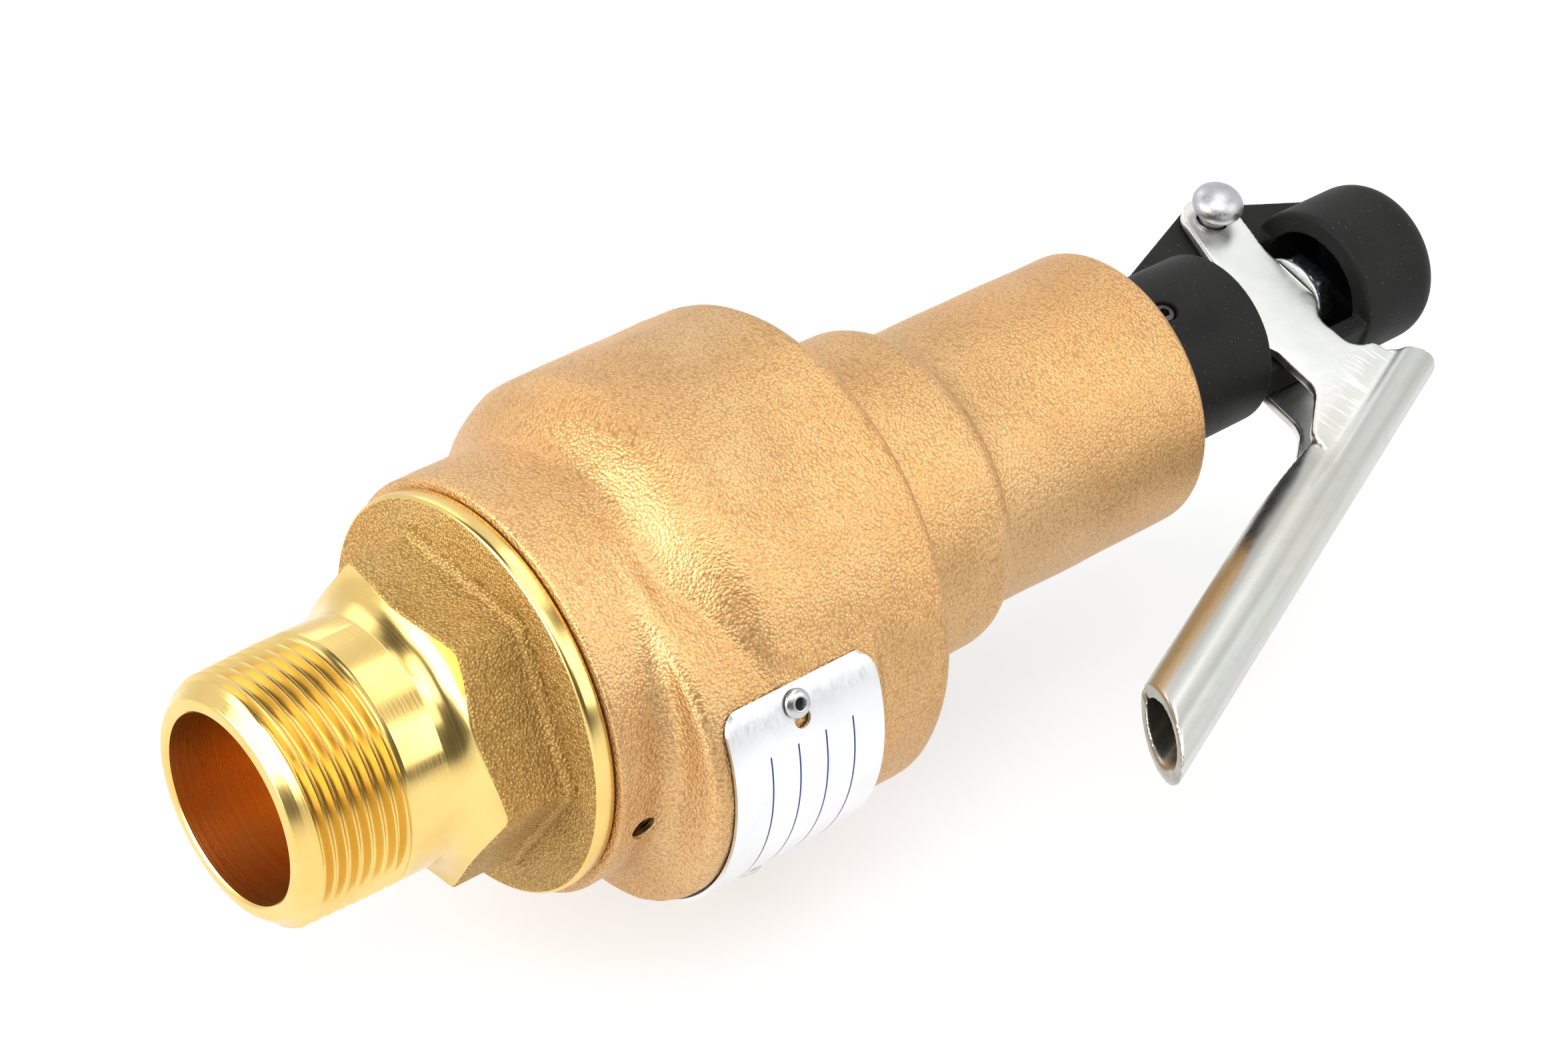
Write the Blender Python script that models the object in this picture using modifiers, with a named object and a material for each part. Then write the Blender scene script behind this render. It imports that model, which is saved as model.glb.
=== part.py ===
"""A spring-loaded pressure relief valve with a lifting lever, modelled piece by piece.

The valve stands on its inlet: the origin is the centre of the inlet end face, +Z runs up the valve's
axis, the lever swings in the XZ plane with its handle on the +X side. Sizes are in millimetres.
"""

import math

import bmesh
import bpy
from mathutils import Matrix, Vector

MM = 0.001
NAME = "pressure_relief_valve"

# Facets of a turned piece, large and small
SEGMENTS = 40
SMALL_SEGMENTS = 24

# Clearances
FIT_GAP = 0.3
RUN_GAP = 0.45
LOOSE_GAP = 0.9

# Inlet nozzle
INLET_BORE_R = 15.8
END_FACE_WIDTH = 2.2
CHAMFER_HEIGHT = 1.9
THREAD_CREST_R = 20.6
THREAD_PITCH = 2.209
THREAD_TURNS = 8
THREAD_DEPTH = 1.5
THREAD_TAPER = 1 / 32
NECK_R = 21.0
NECK_HEIGHT = 12.6
NECK_FILLET = 2.6
HEX_FLATS = 47.6
HEX_HEIGHT = 12.0
HEX_TURN = math.radians(-11.7)
HEX_FOOT_R = 28.6
HEX_FOOT_HEIGHT = 1.3
FLANGE_R = 33.6
FLANGE_HEIGHT = 3.3
FLANGE_CHAMFER = 0.8
SKIRT_R = 29.0
SKIRT_WALL = 4.5
SKIRT_HEIGHT = 11.0
TROUGH_FLOOR = 2.5
ORIFICE_R = 10.2
BORE_DEPTH = 34.0
BORE_CONE = 10.0
SEAT_RISE = 16.5
SEAT_WIDTH = 2.2
SEAT_CONE = 2.0

# Regulator ring and its lock screw
RING_WALL = 7.1
RING_CLEAR = 2.1
RING_LIP = 1.5
LOCK_HOLE_R = 2.0
LOCK_HOLE_RISE = 5.0
LOCK_SCREW_SINK = 1.6

# Body and bonnet casting
BODY_NECK_R = 35.0
BODY_NECK_HEIGHT = 17.2
BULGE_R = 42.3
FLARE_HEIGHT = 11.0
BULGE_HEIGHT = 33.5
SHOULDER_EDGE = 3.0
HUMP_R = 28.7
HUMP_HEIGHT = 26.9
HUMP_EDGE = 4.6
HUMP_FOOT = 2.5
BONNET_R = 25.0
BONNET_HEIGHT = 47.3
BONNET_EDGE = 1.6
STUB_R = 13.2
STUB_HEIGHT = 13.3
STUB_GROOVE_R = 11.2
STUB_GROOVE_HALF = 3.0
CHAMBER_WALL = 6.8
CHAMBER_CONE = 8.0
CHAMBER_ROOF = 5.5
ROOF_SLOPE = 3.0
GUIDE_SEAT_R = 22.6
GUIDE_SEAT_HEIGHT = 10.0
SPRING_BORE_R = 20.6
BONNET_ROOF = 8.7

# Side outlet, a female pipe socket on the hidden side of the casting
OUTLET_TURN = math.radians(120)
OUTLET_RISE = 35.7
OUTLET_REACH = 56.0
OUTLET_BOSS_R = 28.5
OUTLET_BORE_R = 22.2

# Nameplate on its cast pad, a round lobe that stands out on the +X side
PAD_LIFT = 3.05
PAD_START = 8.6
PAD_SLOPE = 0.5
PAD_NOSE = 1.3
PAD_EDGE = 0.8
PAD_TOP_MARGIN = 2.2
PLATE_WIDTH = 44.4
PLATE_HEIGHT = 29.8
PLATE_THICKNESS = 0.6
PLATE_CORNER = 3.0
PLATE_MARGIN = 3.2
PLATE_END_LIFT = 0.37
RIVET_MARGIN = 2.3
RIVET_RISE = 13.7
RIVET_HEAD_R = 2.4
RIVET_HEAD_HEIGHT = 1.0
RIVET_SHANK_R = 1.1
RIVET_LENGTH = 4.6

# Disc, guide and spindle
DISC_R = 14.4
DISC_FACE_HEIGHT = 2.8
DISC_SKIRT_R = 19.5
DISC_SKIRT_HEIGHT = 4.0
DISC_CONE = 7.0
DISC_STEM_R = 9.5
DISC_STEM_ABOVE_GUIDE = 2.5
POCKET_DEPTH = 39.0
FOOT_R = 5.6
FOOT_HEIGHT = 8.0
RETAINER_R = 6.6
RETAINER_HEIGHT = 1.2
SPINDLE_R = 3.1
COLLAR_R = 5.5
COLLAR_HEIGHT = 3.0
COLLAR_ABOVE_STEM = 4.0

# Spring and its steps
STEP_R = 15.6
STEP_FLANGE = 3.0
STEP_HUB_R = 10.6
STEP_HUB = 4.5
SPRING_RADIUS = 14.6
SPRING_WIRE_R = 2.4
SPRING_CURLS = 5
SPRING_LENGTH = 38.0
SPRING_POINTS_PER_CURL = 10

# Compression screw and locknut
SCREW_R = 7.9
SCREW_HEAD_R = 5.6
SCREW_HEAD_HEIGHT = 3.8
LOCKNUT_FLATS = 19.0
LOCKNUT_HEIGHT = 5.0

# Lever cap
CAP_R = 15.75
CAP_BASE_HEIGHT = 25.2
CAP_BASE_TOP = 2.1
WINDOW_HEIGHT = 25.4
WINDOW_HALF = 11.0
WEB_HALF = 3.6
FRONT_WEB_DEPTH = 3.2
CUP_R = 14.8
CUP_WALL = 3.9
CUP_HEIGHT = 20.2
CUP_EDGE = 5.6
CUP_TOP = 4.8
EAR_LOW = 16.0
EAR_R = 5.9
EAR_TOP = 15.2
CAP_SCREW_R = 1.9
CAP_SCREW_RISE = 8.0
CAP_SCREW_TURN = math.radians(-87)
CAP_SCREW_SINK = 0.6

# Lever and its pin
PIN_X = -18.5
PIN_RISE = 16.5
PIN_R = 2.4
PIN_HEAD_R = 4.5
PIN_HEAD_HEIGHT = 5.9
PIN_HEAD_RIM = 0.9
PIN_HEAD_STANDOFF = 0.7
PIN_TAIL = 2.6
CLIP_R = 4.4
CLIP_THICKNESS = 1.2
ARM_THICKNESS = 2.0
ARM_END_R = 5.6
ARM_LAND = 3.4
ARM_LAND_FRONT = 6.0
ARM_LAND_BACK = -8.0
ARM_STEP = 3.6
ARM_STEP_RUN = 3.8
ARM_NUB_SETBACK = 7.2
ARM_NUB = 5.4
ARM_LOWER = 13.4
ARM_HEEL_FRONT = 9.0
ARM_HEEL_BACK = 1.0
HANDLE_TILT = math.radians(23)
HANDLE_REACH = 44.9
HANDLE_R = 6.25
HANDLE_WALL = 1.9
HANDLE_SLIT = math.radians(9)
HANDLE_TOP_OUTER = 14.6
HANDLE_TOP_INNER = 4.2
HANDLE_TIP_OUTER = 102.6
HANDLE_TIP_INNER = 89.1
HANDLE_OPEN_LENGTH = 24.0

# Lift washer and nut
WASHER_R = 7.6
WASHER_HEIGHT = 1.0
NUT_FLATS = 12.7
NUT_HEIGHT = 3.8
SPINDLE_END = 3.6

# Heights along the axis, worked out from the sizes above
Z_THREAD_END = CHAMFER_HEIGHT + THREAD_TURNS * THREAD_PITCH
Z_HEX = Z_THREAD_END + NECK_HEIGHT
Z_FLANGE = Z_HEX + HEX_HEIGHT
Z_FLANGE_TOP = Z_FLANGE + FLANGE_HEIGHT
Z_SEAT = Z_FLANGE_TOP + SEAT_RISE
Z_BODY = Z_FLANGE_TOP + FIT_GAP
Z_FLARE = Z_BODY + BODY_NECK_HEIGHT
Z_BULGE = Z_FLARE + FLARE_HEIGHT
Z_SHOULDER = Z_BULGE + BULGE_HEIGHT
Z_CREASE = Z_SHOULDER + HUMP_HEIGHT
Z_BONNET = Z_CREASE + BONNET_HEIGHT
Z_STUB = Z_BONNET + STUB_HEIGHT
Z_CHAMBER_TOP = Z_SHOULDER - CHAMBER_ROOF
Z_GUIDE_LEDGE = Z_CHAMBER_TOP + GUIDE_SEAT_HEIGHT
Z_SPRING_ROOF = Z_BONNET - BONNET_ROOF
Z_DISC = Z_SEAT + FIT_GAP
Z_STEM_TOP = Z_GUIDE_LEDGE + DISC_STEM_ABOVE_GUIDE
Z_POCKET = Z_STEM_TOP - POCKET_DEPTH
Z_COLLAR = Z_STEM_TOP + COLLAR_ABOVE_STEM
Z_LOWER_STEP = Z_COLLAR + COLLAR_HEIGHT + FIT_GAP
Z_SPRING = Z_LOWER_STEP + STEP_FLANGE + FIT_GAP
Z_UPPER_STEP = Z_SPRING + SPRING_LENGTH + FIT_GAP
Z_SCREW = Z_UPPER_STEP + STEP_FLANGE + FIT_GAP
Z_LOCKNUT = Z_STUB + FIT_GAP
Z_LOCKNUT_TOP = Z_LOCKNUT + LOCKNUT_HEIGHT
Z_SCREW_TOP = Z_LOCKNUT_TOP + SCREW_HEAD_HEIGHT
Z_CAP = Z_BONNET + FIT_GAP
Z_CAP_BASE = Z_CAP + CAP_BASE_HEIGHT
Z_CUP = Z_CAP_BASE + WINDOW_HEIGHT
Z_TOP = Z_CUP + CUP_HEIGHT
Z_PIN = Z_CAP_BASE + PIN_RISE
Z_WASHER = Z_PIN + ARM_LAND + FIT_GAP
Z_NUT = Z_WASHER + WASHER_HEIGHT + FIT_GAP
Z_SPINDLE_TOP = Z_NUT + NUT_HEIGHT + SPINDLE_END
Z_OUTLET = Z_BODY + OUTLET_RISE
Z_PAD = Z_BODY + PAD_START
Z_PLATE = Z_PAD + PAD_SLOPE + PAD_NOSE + PLATE_MARGIN
Z_LOCK = Z_BODY + LOCK_HOLE_RISE
Z_CAP_SCREW = Z_CAP + CAP_SCREW_RISE

# Radii that follow from a fit
SOCKET_R = SKIRT_R + FIT_GAP
RING_R = SKIRT_R - SKIRT_WALL - RING_CLEAR
RING_BORE_R = RING_R - RING_WALL
RING_THREAD_R = RING_BORE_R - FIT_GAP
SPINDLE_HOLE_R = SPINDLE_R + RUN_GAP
POCKET_R = FOOT_R + FIT_GAP
CAP_BORE_R = STUB_R + FIT_GAP
SCREW_HOLE_R = SCREW_R + FIT_GAP
PLATE_END_X = math.sqrt((BULGE_R + PLATE_END_LIFT) ** 2 - (PLATE_WIDTH / 2) ** 2)
PLATE_BOW = BULGE_R + PAD_LIFT + FIT_GAP - PLATE_END_X
PLATE_R = PLATE_BOW / 2 + PLATE_WIDTH ** 2 / PLATE_BOW / 8
PAD_R = PLATE_R - FIT_GAP
PAD_OFFSET = BULGE_R + PAD_LIFT - PAD_R
RIVET_TURN = math.asin((PLATE_WIDTH / 2 - RIVET_MARGIN) / PLATE_R)
ARM_INNER = WEB_HALF + RUN_GAP
ARM_OUTER = ARM_INNER + ARM_THICKNESS

# Finishes: base colour, roughness, metallic
BRONZE = ("cast_bronze", (0.58, 0.36, 0.16), 0.5, 0.9)
BRASS = ("polished_brass", (0.80, 0.56, 0.20), 0.2, 1.0)
BLACK = ("black_coating", (0.02, 0.02, 0.022), 0.55, 0.0)
ZINC = ("zinc_plate", (0.66, 0.67, 0.67), 0.35, 1.0)
STEEL = ("steel", (0.50, 0.50, 0.51), 0.3, 1.0)
SPRING_STEEL = ("spring_steel", (0.30, 0.30, 0.32), 0.4, 1.0)
SILVER = ("nameplate_metal", (0.75, 0.76, 0.78), 0.3, 1.0)


def make_collection(name):
    collection = bpy.data.collections.new(name)
    bpy.context.scene.collection.children.link(collection)
    return collection


for old in list(bpy.data.objects):
    bpy.data.objects.remove(old)
PARTS = make_collection(NAME)
CUTTERS = make_collection(NAME + "_cutters")


def material(finish):
    """One Principled material for each finish."""
    name, colour, roughness, metallic = finish
    found = bpy.data.materials.get(name)
    if found:
        return found
    made = bpy.data.materials.new(name)
    made.use_nodes = True
    shader = made.node_tree.nodes["Principled BSDF"]
    shader.inputs["Base Color"].default_value = (*colour, 1.0)
    shader.inputs["Roughness"].default_value = roughness
    shader.inputs["Metallic"].default_value = metallic
    return made


def add_object(name, mesh, finish=None):
    """A part when it has a finish, and a cutter when it has none."""
    made = bpy.data.objects.new(name, mesh)
    if finish:
        PARTS.objects.link(made)
        mesh.materials.append(material(finish))
    else:
        CUTTERS.objects.link(made)
        made.hide_render = True
        made.display_type = "WIRE"
    return made


def arc(centre_r, centre_z, radius, start, end, count, radius_z=None):
    """Points along an arc or quarter ellipse, with angles in degrees from +X towards +Z."""
    tall = radius if radius_z is None else radius_z
    points = []
    for i in range(count + 1):
        a = math.radians(start + (end - start) * i / count)
        points.append((centre_r + radius * math.cos(a), centre_z + tall * math.sin(a)))
    return points


def turned(name, outline, finish=None, loop=False, base=0.0, segments=SEGMENTS):
    """A turned piece: the outline of (radius, height) runs down the outer side and spins about Z."""
    mesh = bpy.data.meshes.new(name)
    verts = [(r * MM, 0.0, (z - base) * MM) for r, z in outline]
    edges = [(i, i + 1) for i in range(len(verts) - 1)]
    if loop:
        edges.append((len(verts) - 1, 0))
    mesh.from_pydata(verts, edges, [])
    made = add_object(name, mesh, finish)
    made.location.z = base * MM
    screw = made.modifiers.new("turn", "SCREW")
    screw.angle = 2 * math.pi
    screw.steps = segments
    screw.render_steps = segments
    screw.use_merge_vertices = True
    screw.merge_threshold = 1e-6
    screw.use_smooth_shade = True
    return made


def prism(name, radius, z0, z1, sides, finish=None, turn=0.0):
    """An upright cylinder or regular prism from z0 to z1, its radius taken at the corners."""
    mesh = bpy.data.meshes.new(name)
    bm = bmesh.new()
    bmesh.ops.create_cone(
        bm, cap_ends=True, segments=sides, radius1=radius * MM, radius2=radius * MM, depth=(z1 - z0) * MM
    )
    first_corner_on_x = turn - math.pi / 2
    bmesh.ops.rotate(bm, verts=bm.verts, cent=(0, 0, 0), matrix=Matrix.Rotation(first_corner_on_x, 3, "Z"))
    bm.to_mesh(mesh)
    bm.free()
    made = add_object(name, mesh, finish)
    made.location.z = (z0 + z1) / 2 * MM
    return made


def radial(made, turn, start, height, centre_x=0.0):
    """Lays an upright piece made from z=0 along a radius from an axis, from start outwards, at a height."""
    outward = Vector((math.cos(turn), math.sin(turn), 0.0))
    made.matrix_world = (
        Matrix.Translation((outward * start + Vector((centre_x, 0, height))) * MM)
        @ Matrix.Rotation(turn, 4, "Z")
        @ Matrix.Rotation(math.pi / 2, 4, "Y")
        @ made.matrix_world
    )
    return made


def radial_rod(name, radius, turn, start, end, height, finish=None, centre_x=0.0):
    flat_on_top = math.pi / SMALL_SEGMENTS
    rod = prism(name, radius, 0, end - start, SMALL_SEGMENTS, finish, flat_on_top)
    bpy.context.view_layer.update()
    return radial(rod, turn, start, height, centre_x)


def block(name, low, high):
    """A box cutter between two corners."""
    mesh = bpy.data.meshes.new(name)
    bm = bmesh.new()
    bmesh.ops.create_cube(bm, size=1.0)
    size = [(b - a) * MM for a, b in zip(low, high)]
    bmesh.ops.scale(bm, vec=size, verts=bm.verts)
    bm.to_mesh(mesh)
    bm.free()
    made = add_object(name, mesh)
    made.location = [(a + b) / 2 * MM for a, b in zip(low, high)]
    return made


def plate(name, outlines, thickness, finish=None):
    """A flat plate from closed outlines, the first its edge and the others holes, thick along its Z."""
    curve = bpy.data.curves.new(name, "CURVE")
    curve.dimensions = "2D"
    curve.fill_mode = "BOTH"
    curve.extrude = thickness / 2 * MM
    for outline in outlines:
        spline = curve.splines.new("POLY")
        spline.points.add(len(outline) - 1)
        for point, (u, v) in zip(spline.points, outline):
            point.co = (u * MM, v * MM, 0.0, 1.0)
        spline.use_cyclic_u = True
    return curve_to_mesh(name, curve, finish)


def curve_to_mesh(name, curve, finish=None):
    """Turns a curve into a closed mesh object, with its caps welded on."""
    source = bpy.data.objects.new(name + "_curve", curve)
    CUTTERS.objects.link(source)
    bpy.context.view_layer.update()
    evaluated = source.evaluated_get(bpy.context.evaluated_depsgraph_get())
    mesh = bpy.data.meshes.new_from_object(evaluated)
    mesh.name = name
    bm = bmesh.new()
    bm.from_mesh(mesh)
    bmesh.ops.remove_doubles(bm, verts=bm.verts, dist=1e-6)
    bmesh.ops.recalc_face_normals(bm, faces=bm.faces)
    bm.to_mesh(mesh)
    bm.free()
    bpy.data.objects.remove(source)
    mesh.materials.clear()
    return add_object(name, mesh, finish)


def combine(target, tool, operation="DIFFERENCE"):
    modifier = target.modifiers.new(operation.lower(), "BOOLEAN")
    modifier.operation = operation
    modifier.solver = "EXACT"
    modifier.object = tool
    return target


def smooth(made, angle=35):
    made.data.shade_smooth()
    made.data.set_sharp_from_angle(angle=math.radians(angle))
    return made


def stand_up():
    """Takes a plate drawn in (x, z) to the XZ plane, thick along Y."""
    return Matrix.Rotation(math.pi / 2, 4, "X")


def circle(centre_x, centre_z, radius, count=SMALL_SEGMENTS):
    return arc(centre_x, centre_z, radius, 0, 360 * (count - 1) / count, count - 1)


def make_nozzle():
    """Threaded inlet, hexagon and flange, with a skirt into the body and the valve seat on top."""
    thread = []
    for i in range(THREAD_TURNS):
        z = Z_THREAD_END - i * THREAD_PITCH
        crest = THREAD_CREST_R + (z - CHAMFER_HEIGHT) * THREAD_TAPER
        thread.append((crest, z - THREAD_PITCH / 8))
        thread.append((crest - THREAD_DEPTH, z - THREAD_PITCH / 2))
    thread.append((THREAD_CREST_R - THREAD_DEPTH / 2, CHAMFER_HEIGHT))
    core_r = (INLET_BORE_R + NECK_R) / 2 + 1
    sunk = 0.3
    fillet = arc(NECK_R + NECK_FILLET, Z_HEX + sunk - NECK_FILLET, NECK_FILLET, 90, 180, 6)
    outline = [
        (ORIFICE_R + SEAT_WIDTH, Z_SEAT),
        (RING_THREAD_R, Z_SEAT - SEAT_CONE),
        (RING_THREAD_R, Z_FLANGE_TOP + TROUGH_FLOOR),
        (SKIRT_R - SKIRT_WALL, Z_FLANGE_TOP + TROUGH_FLOOR),
        (SKIRT_R - SKIRT_WALL, Z_FLANGE_TOP + SKIRT_HEIGHT),
        (SKIRT_R, Z_FLANGE_TOP + SKIRT_HEIGHT),
        (SKIRT_R, Z_FLANGE_TOP),
        (FLANGE_R, Z_FLANGE_TOP),
        (FLANGE_R, Z_FLANGE + FLANGE_CHAMFER),
        (FLANGE_R - FLANGE_CHAMFER, Z_FLANGE),
        (core_r, Z_FLANGE),
        (core_r, Z_HEX + sunk),
        *fillet,
        (NECK_R, Z_THREAD_END),
        *thread,
        (INLET_BORE_R + END_FACE_WIDTH, 0),
        (INLET_BORE_R, 0),
        (INLET_BORE_R, BORE_DEPTH),
        (ORIFICE_R, BORE_DEPTH + BORE_CONE),
        (ORIFICE_R, Z_SEAT),
    ]
    nozzle = turned("nozzle", outline, BRASS, loop=True)
    corner = HEX_FLATS / 2 / math.cos(math.pi / 6)
    solid_hex = prism("nozzle_hex", corner, Z_HEX, Z_FLANGE + FLANGE_CHAMFER, 6, turn=HEX_TURN)
    foot = prism("nozzle_hex_foot", HEX_FOOT_R, Z_FLANGE - HEX_FOOT_HEIGHT, Z_FLANGE + sunk, 6, turn=HEX_TURN)
    combine(solid_hex, foot, "UNION")
    bore = prism("nozzle_hex_bore", core_r - 1, Z_HEX - 1, Z_FLANGE_TOP, SEGMENTS)
    combine(solid_hex, bore)
    combine(nozzle, solid_hex, "UNION")
    hole_start = SKIRT_R - SKIRT_WALL - 1
    hole = radial_rod("skirt_hole", LOCK_HOLE_R, 0.0, hole_start, SKIRT_R + 1, Z_LOCK)
    combine(nozzle, hole)
    return nozzle


def flare(count):
    """The rounded step from the bulge down to the neck, steepest at the neck."""
    points = []
    for i in range(count + 1):
        left = i / count
        points.append((BULGE_R - (BULGE_R - BODY_NECK_R) * left**2, Z_BULGE - FLARE_HEIGHT * left))
    return points


def body_outline():
    """The casting's outer side from the stub at the top to the neck at the bottom."""
    groove = Z_CAP_SCREW
    slope = STUB_R - STUB_GROOVE_R
    return [
        (0, Z_STUB),
        (STUB_R, Z_STUB),
        (STUB_R, groove + STUB_GROOVE_HALF),
        (STUB_GROOVE_R, groove + STUB_GROOVE_HALF - slope / 2),
        (STUB_GROOVE_R, groove - STUB_GROOVE_HALF + slope / 2),
        (STUB_R, groove - STUB_GROOVE_HALF),
        (STUB_R, Z_BONNET),
        *arc(BONNET_R - BONNET_EDGE, Z_BONNET - BONNET_EDGE, BONNET_EDGE, 90, 0, 4),
        (BONNET_R, Z_CREASE),
        *arc(BONNET_R, Z_CREASE - HUMP_EDGE, HUMP_R - BONNET_R, 75, 0, 5, HUMP_EDGE),
        *arc(HUMP_R + HUMP_FOOT, Z_SHOULDER + HUMP_FOOT, HUMP_FOOT, 180, 270, 3),
        *arc(BULGE_R - SHOULDER_EDGE, Z_SHOULDER - SHOULDER_EDGE, SHOULDER_EDGE, 90, 0, 5),
        *flare(8),
        (BODY_NECK_R, Z_BODY),
        (0, Z_BODY),
    ]


def body_cavity():
    """The hollow of the casting: nozzle socket, outlet chamber, guide seat, spring bore, screw hole."""
    past = 2.0
    chamber_r = BULGE_R - CHAMBER_WALL
    return [
        (0, Z_STUB + past),
        (SCREW_HOLE_R, Z_STUB + past),
        (SCREW_HOLE_R, Z_SPRING_ROOF),
        (SPRING_BORE_R, Z_SPRING_ROOF - ROOF_SLOPE),
        (SPRING_BORE_R, Z_GUIDE_LEDGE),
        (GUIDE_SEAT_R, Z_GUIDE_LEDGE),
        (GUIDE_SEAT_R, Z_CHAMBER_TOP),
        (chamber_r, Z_CHAMBER_TOP - ROOF_SLOPE),
        (chamber_r, Z_FLARE + CHAMBER_CONE),
        (SOCKET_R, Z_FLARE),
        (SOCKET_R, Z_BODY - past),
        (0, Z_BODY - past),
    ]


def make_pad():
    """The raised lobe under the nameplate, turned about an axis beside the valve's own."""
    top = Z_PLATE + PLATE_HEIGHT + PAD_TOP_MARGIN
    nose = arc(PAD_R - PAD_NOSE, Z_PAD + PAD_SLOPE + PAD_NOSE, PAD_NOSE, 0, -90, 4)
    outline = [(0, top), *arc(PAD_R - PAD_EDGE, top - PAD_EDGE, PAD_EDGE, 90, 0, 2), *nose, (0, Z_PAD)]
    pad = turned("nameplate_pad", outline)
    pad.location.x = PAD_OFFSET * MM
    return pad


def make_body():
    """Body and bonnet in one casting, with the outlet boss, nameplate pad and tapped holes."""
    body = turned("valve_body", body_outline(), BRONZE)
    boss_start = BULGE_R / 2
    boss = radial_rod("outlet_boss", OUTLET_BOSS_R, OUTLET_TURN, boss_start, OUTLET_REACH, Z_OUTLET)
    combine(body, boss, "UNION")
    combine(body, make_pad(), "UNION")
    combine(body, turned("body_cavity", body_cavity()))
    bore = radial_rod("outlet_bore", OUTLET_BORE_R, OUTLET_TURN, boss_start, OUTLET_REACH + 2, Z_OUTLET)
    combine(body, bore)
    combine(body, radial_rod("lock_hole", LOCK_HOLE_R, 0.0, SKIRT_R - 2, BODY_NECK_R + 4, Z_LOCK))
    hole_r = RIVET_SHANK_R + FIT_GAP
    hole_start = PAD_R - RIVET_LENGTH - FIT_GAP
    for side in (-1, 1):
        turn = side * RIVET_TURN
        height = Z_PLATE + RIVET_RISE
        hole = radial_rod(f"pad_hole_{side}", hole_r, turn, hole_start, PAD_R + 3, height, centre_x=PAD_OFFSET)
        combine(body, hole)
    return body


def make_ring_parts():
    """Regulator ring round the nozzle's seat, and the screw that locks it."""
    low = Z_FLANGE_TOP + TROUGH_FLOOR + FIT_GAP
    high = Z_SEAT + RING_LIP
    outline = [(RING_R, high), (RING_R, low), (RING_BORE_R, low), (RING_BORE_R, high)]
    ring = turned("regulator_ring", outline, BRASS, loop=True)
    tip = RING_R + FIT_GAP
    screw_r = LOCK_HOLE_R - FIT_GAP
    end = BODY_NECK_R - LOCK_SCREW_SINK
    screw = radial_rod("ring_lock_screw", screw_r, 0.0, tip, end, Z_LOCK, STEEL)
    return ring, smooth(screw)


def make_nameplate():
    """Thin curved plate with round corners, its two rivets driven through it into the pad."""
    inner = PLATE_R
    outer = inner + PLATE_THICKNESS
    top = Z_PLATE + PLATE_HEIGHT
    ring = [(outer, top), (outer, Z_PLATE), (inner, Z_PLATE), (inner, top)]
    made = turned("nameplate", ring, SILVER, loop=True, segments=SEGMENTS * 2)
    made.location.x = PAD_OFFSET * MM
    half = PLATE_WIDTH / 2
    c = PLATE_CORNER
    corners = [
        *arc(half - c, PLATE_HEIGHT - c, c, 0, 90, 4),
        *arc(c - half, PLATE_HEIGHT - c, c, 90, 180, 4),
        *arc(c - half, c, c, 180, 270, 4),
        *arc(half - c, c, c, 270, 360, 4),
    ]
    window = plate("plate_window", [corners], outer)
    window.matrix_world = (
        Matrix.Translation(((PAD_OFFSET + outer) * MM, 0, Z_PLATE * MM))
        @ Matrix.Rotation(math.pi / 2, 4, "Z")
        @ stand_up()
    )
    combine(made, window, "INTERSECT")
    rivets = []
    for number, side in ((1, -1), (2, 1)):
        turn = side * RIVET_TURN
        height = Z_PLATE + RIVET_RISE
        name = f"plate_hole_{number}"
        hole_r = RIVET_SHANK_R + FIT_GAP
        combine(made, radial_rod(name, hole_r, turn, PAD_R - 2, PAD_R + 4, height, centre_x=PAD_OFFSET))
        rivets.append(make_rivet(f"nameplate_rivet_{number}", turn, outer + FIT_GAP, height))
    return made, rivets


def make_rivet(name, turn, seat, height):
    """A drive screw with a low round head, seated on the plate."""
    head = arc(0, 0, RIVET_HEAD_R, 90, 0, 4, RIVET_HEAD_HEIGHT)
    length = RIVET_LENGTH
    outline = [*head, (RIVET_SHANK_R, 0), (RIVET_SHANK_R, -length), (0, -length)]
    rivet = turned(name, outline, STEEL, segments=SMALL_SEGMENTS // 2)
    bpy.context.view_layer.update()
    return radial(rivet, turn, seat, height, PAD_OFFSET)


def make_disc():
    """Disc on the seat, with a hollow stem that slides in the guide."""
    z = Z_DISC + DISC_FACE_HEIGHT
    groove = Z_POCKET + FIT_GAP + FOOT_HEIGHT + FIT_GAP
    groove_r = RETAINER_R + FIT_GAP
    outline = [
        (DISC_STEM_R, Z_STEM_TOP),
        (DISC_STEM_R, z + DISC_SKIRT_HEIGHT + DISC_CONE),
        (DISC_SKIRT_R, z + DISC_SKIRT_HEIGHT),
        (DISC_SKIRT_R, z),
        (DISC_R, z),
        (DISC_R, Z_DISC),
        (0, Z_DISC),
    ]
    pocket = [
        (0, Z_POCKET),
        (POCKET_R, Z_POCKET),
        (POCKET_R, groove - FIT_GAP),
        (groove_r, groove - FIT_GAP),
        (groove_r, groove + RETAINER_HEIGHT + FIT_GAP),
        (POCKET_R, groove + RETAINER_HEIGHT + FIT_GAP),
        (POCKET_R, Z_STEM_TOP),
    ]
    disc = turned("disc", pocket + outline, STEEL)
    ring = [
        (RETAINER_R, groove + RETAINER_HEIGHT),
        (RETAINER_R, groove),
        (SPINDLE_HOLE_R, groove),
        (SPINDLE_HOLE_R, groove + RETAINER_HEIGHT),
    ]
    retainer = turned("disc_retaining_ring", ring, STEEL, loop=True, segments=SMALL_SEGMENTS)
    return disc, retainer


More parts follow.
